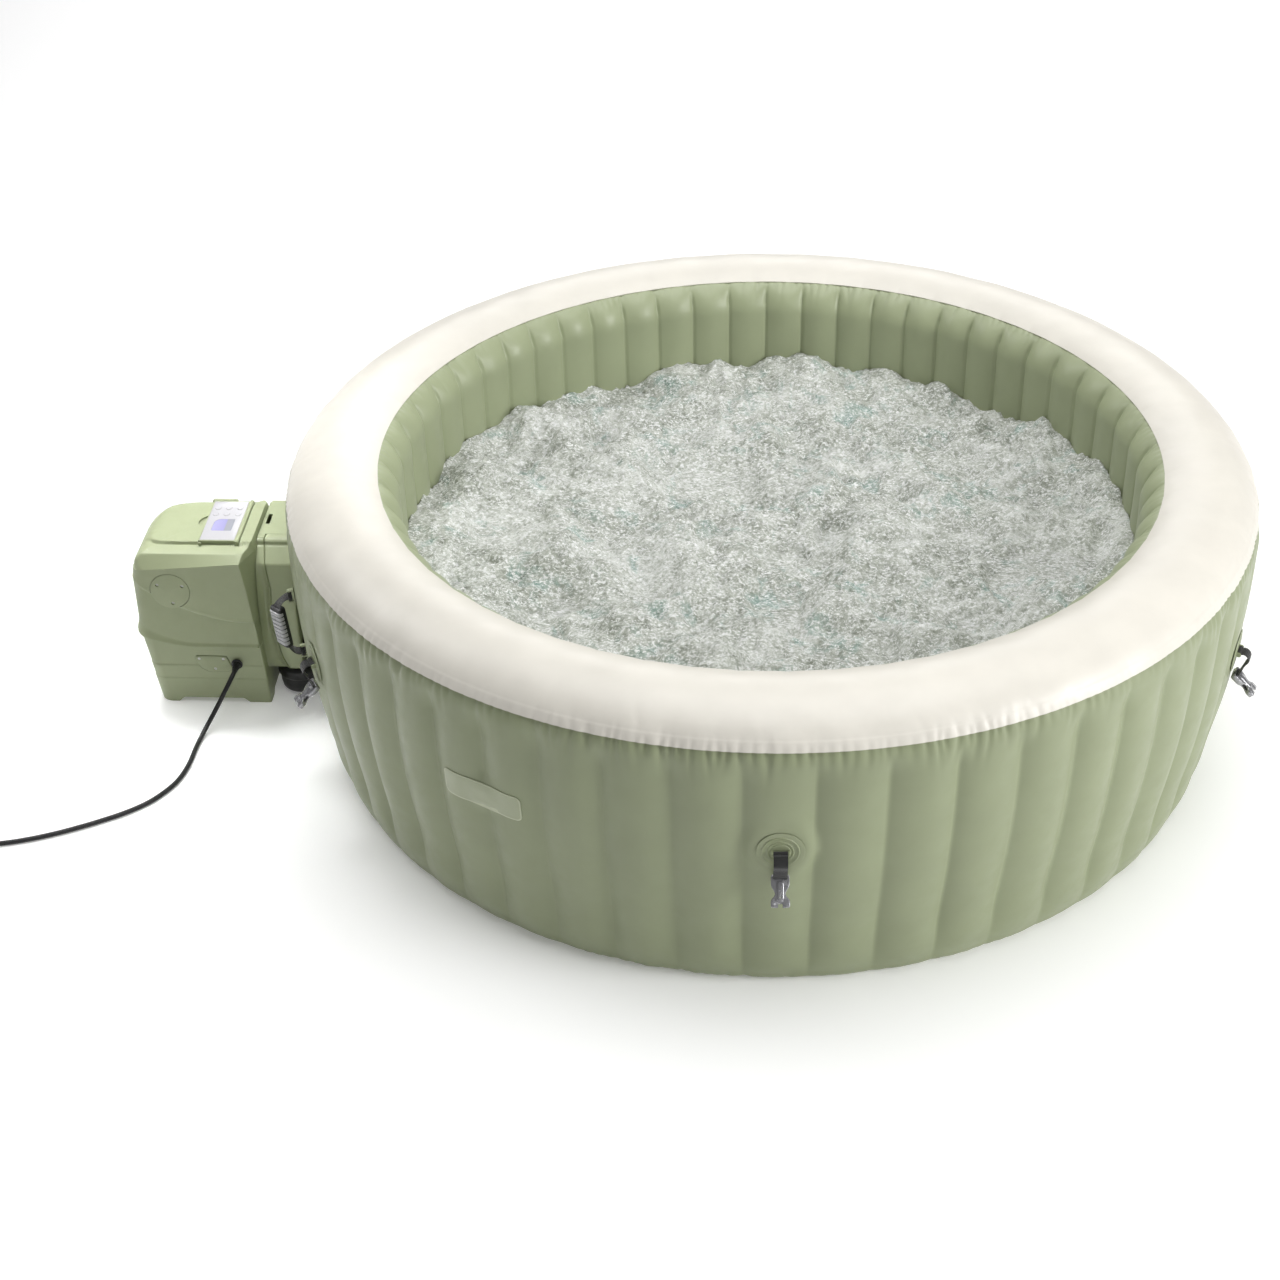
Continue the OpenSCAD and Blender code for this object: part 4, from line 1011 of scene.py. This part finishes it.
# -------------------- pump unit
FRONT_PARTS = 210  # columns across the front of the unit
ACCESS = (-1.383, 0.318)  # middle of the round cover, as (x, z)
SERVICE = (-1.300, 0.112)  # middle of the service plate
SERVICE_SHAPE = mm((-20, -22, 10), (26, -22, 8), (38, -14, 8), (26, 22, 4), (-52, 22, 6), (-38, -12, 10))
LID_HINGE, PANEL_HINGE = (-1.1035, 0, 0.405), (-1.226, 0, 0.418)
FEET = [(-1.116, -0.002), (-1.116, 0.132)]  # the feet under the bridge, as (x, y)


def interp(z, *pairs):
    return np.interp(z, [a for a, b in pairs], [b for a, b in pairs])


def left_part(x):
    """0 over the right half of the unit, rising to 1 at its left side."""
    return np.clip((-1.33 - x) / 0.148, 0, 1) ** 2


def waist(x):
    """Height of the joint between tray and housing."""
    return 0.165 + 0.032 * left_part(x)


def cover_line(x):
    """Height of the joint between housing and top cover."""
    return 0.373 + 0.021 * np.clip((x + 1.468) / 0.26, 0, 1)


def housing_plan(z):
    x0 = interp(z, (0.16, -1.4775), (0.24, -1.4755), (0.34, -1.475), (0.395, -1.464))
    xf = interp(z, (0.16, -1.1885), (0.242, -1.196), (0.324, -1.203), (0.40, -1.2135))
    back = interp(z, (0.25, -0.052), (0.39, -0.024))
    corners = [(x0, UNIT_FRONT, 0.030), (xf, UNIT_FRONT, 0.003), (-1.187, back, 0.004),
               (-1.187, 0.185, 0.030), (x0, 0.185, 0.118)]
    return rounded(corners, 10, (FRONT_PARTS, 8, 24, 24, 24))


def tray_plan(z):
    x0 = interp(z, (0.0, -1.450), (0.17, -1.4745), (0.2, -1.476))
    y0 = interp(z, (0.0, -0.084), (0.165, -0.0885))
    x1 = interp(z, (0.0, -1.180), (0.142, -1.186), (0.17, -1.187))
    corners = [(x0, y0, 0.030), (x1, y0, 0.005), (x1, -0.040, 0.02), (x1, 0.183, 0.030), (x0, 0.183, 0.110)]
    return rounded(corners, 10, (FRONT_PARTS, 6, 60, 60, 60))


def wall_points(plan, low, high, rows, relief):
    """Rings of a wall whose plan changes with height, between two heights for every column, with a relief."""
    levels = np.linspace(low.min() - 0.001, high.max() + 0.001, 48)
    plans = np.array([plan(z) for z in levels])
    normals = np.array([outline_normals(p) for p in plans])
    columns = np.arange(plans.shape[1])
    rings = []
    for v in rows:
        z = low + (high - low) * v
        k = np.clip((z - levels[0]) / (levels[1] - levels[0]), 0, len(levels) - 1.001)
        i, f = k.astype(int), (k % 1)[:, None]
        p = plans[i, columns] * (1 - f) + plans[i + 1, columns] * f
        n = normals[i, columns] * (1 - f) + normals[i + 1, columns] * f
        rings.append(np.column_stack([p - n * relief(p, n, z)[:, None], z]))
    return rings


def housing_relief(p, n, z):
    """How far the housing's wall lies inside its plan: a curved crease, and a flare over the waist."""
    x = p[:, 0]
    t = np.clip((x + 1.478) / 0.28, 0, 1)
    front = smooth(-n[:, 1] * 1.6)
    away = 1 - smooth(n[:, 0] * 2)
    crease = 0.235 + 0.115 * (1 - t) ** 2
    drop = crease - z
    depth = 0.0052 * smooth(drop / 0.007) * (1 - smooth(drop / np.maximum(crease - waist(x) - 0.012, 0.02)))
    soft = 0.0006 * bell((drop + 0.004) / 0.004)
    flare_h = 0.010 + 0.030 * left_part(x)
    flare = 0.0062 * smooth((waist(x) + flare_h - z) / flare_h) ** 1.3
    foot = 0.0008 * smooth((waist(x) + 0.0022 - z) / 0.0022)
    return front * (depth - soft) + away * (foot - flare)


def tray_relief(p, n, z):
    """The tray stands out in three steps, the lowest one the least."""
    steps = sum(0.0013 * smooth((at - z) / 0.0022) for at in (0.108, 0.070))
    return (smooth(n[:, 0] * 2) - 1) * (steps - 0.0022)


def arch(p, n):
    """Height of the tray's lower edge: it rises between the four feet."""
    x, y = p.T
    ends = smooth((x + 1.420) / 0.020) * smooth((-1.236 - x) / 0.018)
    sides = smooth((y + 0.052) / 0.018) * smooth((0.147 - y) / 0.018)
    return 0.012 * np.where(abs(n[:, 1]) > abs(n[:, 0]), ends, sides)


def facing(x, z, y=0.0):
    """Turns a part drawn in plan so that it stands in the unit's front, its top toward the viewer."""
    return Matrix(((1, 0, 0, x), (0, 0, -1, y), (0, 1, 0, z), (0, 0, 0, 1)))


def service_outline(grow):
    p = rounded(SERVICE_SHAPE, 6, (6,) * 6)
    return p + outline_normals(p) * grow


def disc_cut(x, z, r, y0, y1):
    """Round cut into the front at one spot. Its radius and depths are in mm."""
    return moved(rod(r, y0, y1, 72), facing(x, z))


def make_housing():
    plan = housing_plan(0.28)
    low, high = waist(plan[:, 0]), cover_line(plan[:, 0])
    rings = wall_points(housing_plan, low, high, stations((0, 0.06, 0.3, 1), (10, 44, 96)), housing_relief)
    foot = rings[0].copy()
    foot[:, :2] = foot[:, :2].mean(0) + (foot[:, :2] - foot[:, :2].mean(0)) * 0.96
    # a small notch at the end of the waist's ledge, square to the wall there
    a = math.radians(203)
    out = Vector((math.cos(a), math.sin(a), 0))
    turn = Matrix((Vector((-out.y, out.x, 0)), Vector((0, 0, 1)), out)).transposed().to_4x4()
    place = Matrix.Translation(Vector((-1.447, -0.058, 0.196)) + out * 0.036) @ turn
    notch = moved(block(-5, 5, -9, 9, 3, -20, 4), place)
    cuts = [disc_cut(*ACCESS, 47.3, 84.5, 120), notch]
    piece("housing_shell", ring_mesh([foot] + rings), "unit_housing", cuts=cuts)


def make_tray():
    plan = tray_plan(0.1)
    n = outline_normals(plan)
    low, high = arch(plan, n), waist(plan[:, 0]) - 0.0006
    rings = wall_points(tray_plan, low, high, np.linspace(0, 1, 96), tray_relief)
    under, top = rings[0].copy(), rings[-1].copy()
    under[:, :2] -= n * 0.0035
    inside = under.copy()
    inside[:, 2] = 0.017
    top[:, :2] -= n * 0.006
    recess = mm((-1340, 83, 14), (-1243, 81, 4), (-1236, 153, 4), (-1374, 153, 4), (-1358, 104, 14))
    cuts = [moved(stack(rounded(recess, 6, (4,) * 5), [(0, 86.4), (0, 120)]), facing(0, 0)),
            moved(stack(service_outline(0.0013), [(0, 82), (0, 120)]), facing(*SERVICE))]
    piece("tray_shell", ring_mesh([inside, under] + rings + [top]), "unit_base", cuts=cuts)


def make_unit_covers():
    """The round cover and the service plate, with three cross-recessed screws each."""
    circle, around = 0.033, np.radians((25, 150, 275))
    disc = [(ACCESS[0] + circle * math.cos(a), ACCESS[1] + circle * math.sin(a)) for a in around]
    plate = [(SERVICE[0] + x, SERVICE[1] + z) for x, z in mm((-40, 14), (18, 14), (-4, -14))]
    cover = [(0, 0), (45.9, 0), (46.1, 4.7), (45.7, 5.3), (45, 5.5), (0, 5.5)]
    cover = lathe(cover, 96, facing(*ACCESS, -0.0849))
    face = moved(stack(service_outline(0), [(0, 0), (0, 4), (0.4, 4.5), (1, 4.8)]), facing(*SERVICE, -0.0826))
    cover = carved(cover, [disc_cut(*spot, 4, 86.8, 100) for spot in disc])
    face = carved(face, [disc_cut(*spot, 4, 86, 100) for spot in plate])
    piece("unit_covers", merge([cover, face]), "service_covers", sharp=30)
    head = lathe([(0, -3), (3.4, -3), (3.4, -0.6), (3.06, 0), (1.36, 0.2), (0, 0.2)], 32)
    cross = [block(-2.2, 2.2, -0.5, 0.5, 0.2, -1.4, 2, 2), block(-0.5, 0.5, -2.2, 2.2, 0.2, -1.4, 2, 2)]
    head = carved(head, cross)
    heads = [moved(head, facing(*spot, -0.0878)) for spot in disc]
    heads += [moved(head, facing(*spot, -0.0868)) for spot in plate]
    piece("unit_screws", merge(heads), "cover_screws", "steel", sharp=30)


def cover_height(p, d, normal):
    """Height of the top cover over points p, from the distance to its edge and the way that edge faces."""
    x, y = p.T
    foot = cover_line(x)
    from_front = y - UNIT_FRONT
    front = foot + (0.407 - foot) * np.clip(from_front / 0.023, 0, 1)
    front = np.minimum(front + 0.004 * np.clip((from_front - 0.023) / 0.03, 0, 1), foot + 3 * d)
    side = foot + (0.4105 - foot) * np.sqrt(1 - (1 - np.clip(d / 0.040, 0, 1)) ** 2.2)
    right = np.minimum(front, foot + (0.4110 - foot) * np.clip(d / 0.003, 0, 1))
    to_front, to_right = smooth(-normal[:, 1] * 1.5 - 0.25), smooth(normal[:, 0] * 1.5)
    base = side + (front - side) * to_front
    base += (right - base) * to_right
    step = -0.033 + 0.05 * np.clip((-1.395 - x) / 0.075, 0, 1.4) ** 2
    crown = 0.0075 * smooth((y - step) / 0.004) * smooth((x + 1.466) / 0.05) * smooth((0.176 - y) / 0.045)
    return base + crown * np.clip(d / 0.004, 0, 1)


def make_cover():
    """The top cover with its recess and scoop, the ears of the panel's hinge and the tab at the back."""
    edge = housing_plan(0.385)
    closed = np.concatenate([edge, edge[:1]])
    fine = resample(closed, np.linspace(0, path_length(closed)[-1], 1400, endpoint=False))
    fine_normals = outline_normals(fine)
    middle = np.array([-1.30, 0.045])
    rings = []
    for share in (0, 0.004, 0.010, 0.018, *np.linspace(0.028, 0.9, 78)):
        p = middle + (edge - middle) * (1 - share)
        away = ((p[:, None] - fine[None]) ** 2).sum(-1)
        d = np.sqrt(away.min(1)) if share else np.zeros(len(p))
        rings.append(np.column_stack([p, cover_height(p, d, fine_normals[away.argmin(1)])]))
    skirt = rings[0].copy()
    skirt[:, :2] -= outline_normals(edge) * 0.003
    skirt[:, 2] -= 0.004
    recess = block(-1318, -1219.5, -32.2, 150.2, 2, 411.5, 450, 4, 3)
    scoop = lathe([(0, 0), (24, 0), (30, 4), (31, 40), (0, 40)], 56, pose(-1.305, 0.059, 0.4105))
    piece("cover_shell", ring_mesh([skirt] + rings), "unit_top_cover", sharp=40, cuts=[recess, scoop])
    ear = stack(box_outline(-5, 5, -9, 5, [1, 1, 4.9, 4.9]), [(0.4, 0), (0, 0.4), (0, 3.6), (0.4, 4)])
    parts = [moved(ear, swapped("xzy", PANEL_HINGE[0], y, PANEL_HINGE[2])) for y in (-0.0353, 0.1493)]
    stud = [(0, 0), (3.4, 0), (4, 0.6), (4, 6), (3.4, 6.6), (0, 6.6)]
    parts.append(lathe(stud, 32, pose(-1.3125, -0.0385, 0.4155, -90, "X")))
    piece("panel_ears", merge(parts))
    tab = box_outline(-1330, -1268, 179.5, 189.5, [2, 2, 6, 6], 6, 4)
    piece("cover_tab", stack(tab, [(1, 380), (0, 382), (0, 402.5), (0.8, 404.5), (2.6, 405.5)]))


def bridge_shell():
    """A side outline (y, z) carried across, along its curved seam. Its faces point inward."""
    front = [(19, 408), (11, 407.4), (4.5, 405.2), (1.2, 402), (-0.2, 396), (-2, 393.2), (-6, 391.2),
             (-37.5, 365), (-40, 361), (-60, 280), (-62.2, 268), (-62.8, 256)]
    rest = [(-62.8, 75, 22), (190, 75, 12), (190, 388, 4), (172, 408, 6)]
    sides = [3] * 6 + [8, 2, 30, 3, 3, 74, 24, 30, 4, 20]
    outline = rounded(mm(*[(y, z, 0.2) for y, z in front], *rest), 4, sides)
    n = outline_normals(outline)
    z = outline[:, 1]
    seam = interp(z, (0.075, -1.128), (0.12, -1.143), (0.20, -1.158), (0.24, -1.156), (0.30, -1.1535),
                  (0.35, -1.162), (0.40, -1.1695))
    x0, x1, seam_half = -1.1868, -1.098, 0.0022
    to_front = smooth(-n[:, 0] * 1.5)
    columns = []  # (x, inset) for each ring, from the unit to the tub
    for t in (0, 0.04, 0.12, 0.25, 0.4, 0.55, 0.7, 0.84, 0.94):
        hollow = 0.0170 * math.sin(math.pi * min(1, t * 1.05)) * smooth((0.375 - z) / 0.09)
        columns.append((x0 + (seam - seam_half - x0) * t, to_front * (hollow + 0.0012)))
    for x, inset in mm((-2.2, 0), (-1.4, 0.8), (-1, 4), (1, 4), (1.4, 0.8), (2.2, 0)):
        columns.append((seam + x, inset))
    for t, inset in ((0.08, 0), (0.3, 0), (0.6, 0), (0.9, 0), (0.97, 0.0006), (1, 0.0022)):
        columns.append((seam + seam_half + (x1 - seam - seam_half) * t, inset))
    rings = []
    for x, inset in columns:
        depth = np.broadcast_to(inset, z.shape)[:, None]
        rings.append(np.column_stack([x, outline - n * depth]))
    verts, faces = ring_mesh(rings)
    return verts, [f[::-1] for f in faces]


def make_bridge():
    on_hinge = pose(*LID_HINGE, -90, "X")
    cuts = [
        block(-1184.3, -1096.5, 24.7, 178.3, [3, 0.1, 0.1, 3], 401.7, 420),
        rod(3.8, 24.7, 178.3, 28, on_hinge),
        block(-1182, -1108, 30, 173, 6, 372, 410),
    ]
    piece("bridge_shell", bridge_shell(), "bridge_housing", cuts=cuts, sharp=40)
    plate = stack(box_outline(-1184, -1103.5, 25, 178, [3, 0.2, 0.2, 3], 6, 6),
                  [(0.4, 402), (0, 402.4), (0, 407.3), (0.7, 408)])
    lid = carved(plate, [block(-1180, -1170, 71, 115, 3, 390, 410)])
    barrel = rod(3.5, 25, 178, 32, on_hinge)
    piece("lid_shell", merge([lid, barrel]), "bridge_lid", body="bridge_lid", sharp=30)
    foot = [(0, 0), (37, 0), (39.2, 1.2), (46.8, 7.2), (49.2, 10.5), (51.8, 24), (52, 27), (52, 42.5),
            (52.8, 44.5), (56, 47.5), (57, 50), (57, 67), (56, 69.5), (50.5, 74.5), (0, 75)]
    feet = [lathe(foot, 96, pose(*spot)) for spot in FEET]
    piece("bridge_foot_pads", merge(feet), "bridge_feet", "black", sharp=30)


def make_panel():
    """Control panel: its tray with the hinge's barrel, face plate, display window and six keys."""
    body = "control_panel"
    tray = stack(box_outline(-1317, -1226, -31, 149, [4, 1, 1, 4], 6, 4),
                 [(0.8, 413), (0, 413.8), (0, 421.4), (0.6, 422)])
    tray = carved(tray, [block(-1314.1, -1231.9, -28.1, 146.1, 3, 419.5, 430)])
    barrel = lathe([(0, -31), (4.6, -31), (5, -30.4), (5, 148.4), (4.6, 149), (0, 149)], 36,
                   pose(*PANEL_HINGE, -90, "X"))
    piece("panel_tray", merge([tray, barrel]), "panel_frame", body=body, sharp=30)

    x0, x1, y0, y1 = -1295.8, -1248.2, 13, 65  # the display window
    radii = [4, 3, 3, 17]
    gap = 0.2
    face = stack(box_outline(-1313.8, -1232.2, -27.8, 145.8, 3, 6, 4),
                 [(0.2, 419.6), (0, 420), (0, 422), (0.3, 422.4), (0.9, 422.6)])
    keys = [(x, y) for y in (0.087, 0.115) for x in (-1.2998, -1.2738, -1.2462)]
    cuts = [block(x0 - gap, x1 + gap, y0 - gap, y1 + gap, radii, 421.4, 430, 8)]
    cuts += [rod(7.3, 410, 430, 40, pose(x, y)) for x, y in keys]
    piece("panel_face", face, "panel_plate", "panel", body, 30, cuts)
    glass = stack(box_outline(x0, x1, y0, y1, radii, 8), [(0, 421.4), (0, 422.2), (0.3, 422.5)])
    uv = (glass[0][:, :2] / MM - (x0, y0)) / (x1 - x0, y1 - y0)
    piece("display_glass", glass, "display_window", "display", body, 30, uv=uv)
    cap = [(0, 419), (7, 419), (7, 422.7), (6.8, 423.1), (6.2, 423.3), (4.8, 423.2), (0, 423)]
    for name, (x, y) in zip(("power", "heater", "bubbles", "filter", "warmer", "cooler"), keys):
        node = f"key_{name}"
        piece(f"keycap_{name}", lathe(cap, 40, pose(x, y)), node, "panel", node)


make_housing()
make_tray()
make_unit_covers()
make_cover()
make_bridge()
make_panel()


# -------------------- finishes of the CAD nodes that stay
KEPT = {
    "green": ["base_sheet", "air_jet_ring"],
    "black": ["valve_bodies", "inflation_cap", "drain_cap", "wall_fittings", "union_collars", "pool_grilles"],
    "steel": ["hinge_pins", "heater_tube"],
    "dark": ["pump_housing", "pump_impeller", "blower_housing", "blower_fan"],
    "enamel": ["pump_motor", "blower_motor"],
    "ivory": ["control_box"],
    "white": ["unit_pipes"],
}


def finish_kept():
    for material, names in KEPT.items():
        for name in names:
            node = nodes[name]
            node.data.materials.clear()
            node.data.materials.append(M[material].mat)
            for p in node.data.polygons:
                p.material_index = 0


finish_kept()


# -------------------- floor and light
def make_stage():
    M["floor"] = plain("floor", srgb(250, 250, 250), 0.6, (0.004, 0.7, 2), [],
                       Emission_Color=(1, 1, 1, 1), Emission_Strength=0.16)
    corners = np.array([(-30, -12, 0), (30, -12, 0), (30, 40, 0), (-30, 40, 0)])
    make("floor", (corners, [[0, 1, 2, 3]]), M["floor"])
    world = bpy.data.worlds.new("world")
    world.use_nodes = True
    background = world.node_tree.nodes["Background"]
    background.inputs["Color"].default_value = (1, 1, 1, 1)
    background.inputs["Strength"].default_value = 0.15
    scene.world = world
    # name, place, what it points at, size, power and spread in degrees
    for name, at, toward, size, power, spread in (
        ("key", (0.2, 0.1, 6.0), (0, 0, 0), 6.0, 270, 180),
        ("right", (5.3, -2.6, 2.7), (0, -0.5, 0.3), 3.0, 235, 180),
        ("left", (-4.0, 1.4, 4.0), (0.2, 0, 0.3), 2.6, 62, 180),
        ("front", (0.9, -5.2, 3.6), (0, -1.0, 0.3), 1.2, 8, 180),
        ("back", (0.0, 8.2, 4.0), (0, 7.8, 0), 7.0, 300, 180),
        ("unit", (-1.75, 0.65, 2.4), (-1.36, 0.06, 0.4), 0.7, 2.2, 36),
    ):
        data = bpy.data.lights.new(name, "AREA")
        data.shape, data.size, data.energy, data.spread = "DISK", size, power, math.radians(spread)
        lamp = bpy.data.objects.new(name, data)
        aim = (Vector(toward) - Vector(at)).to_track_quat("-Z", "Y")
        lamp.matrix_world = Matrix.Translation(at) @ aim.to_matrix().to_4x4()
        scene.collection.objects.link(lamp)


make_stage()
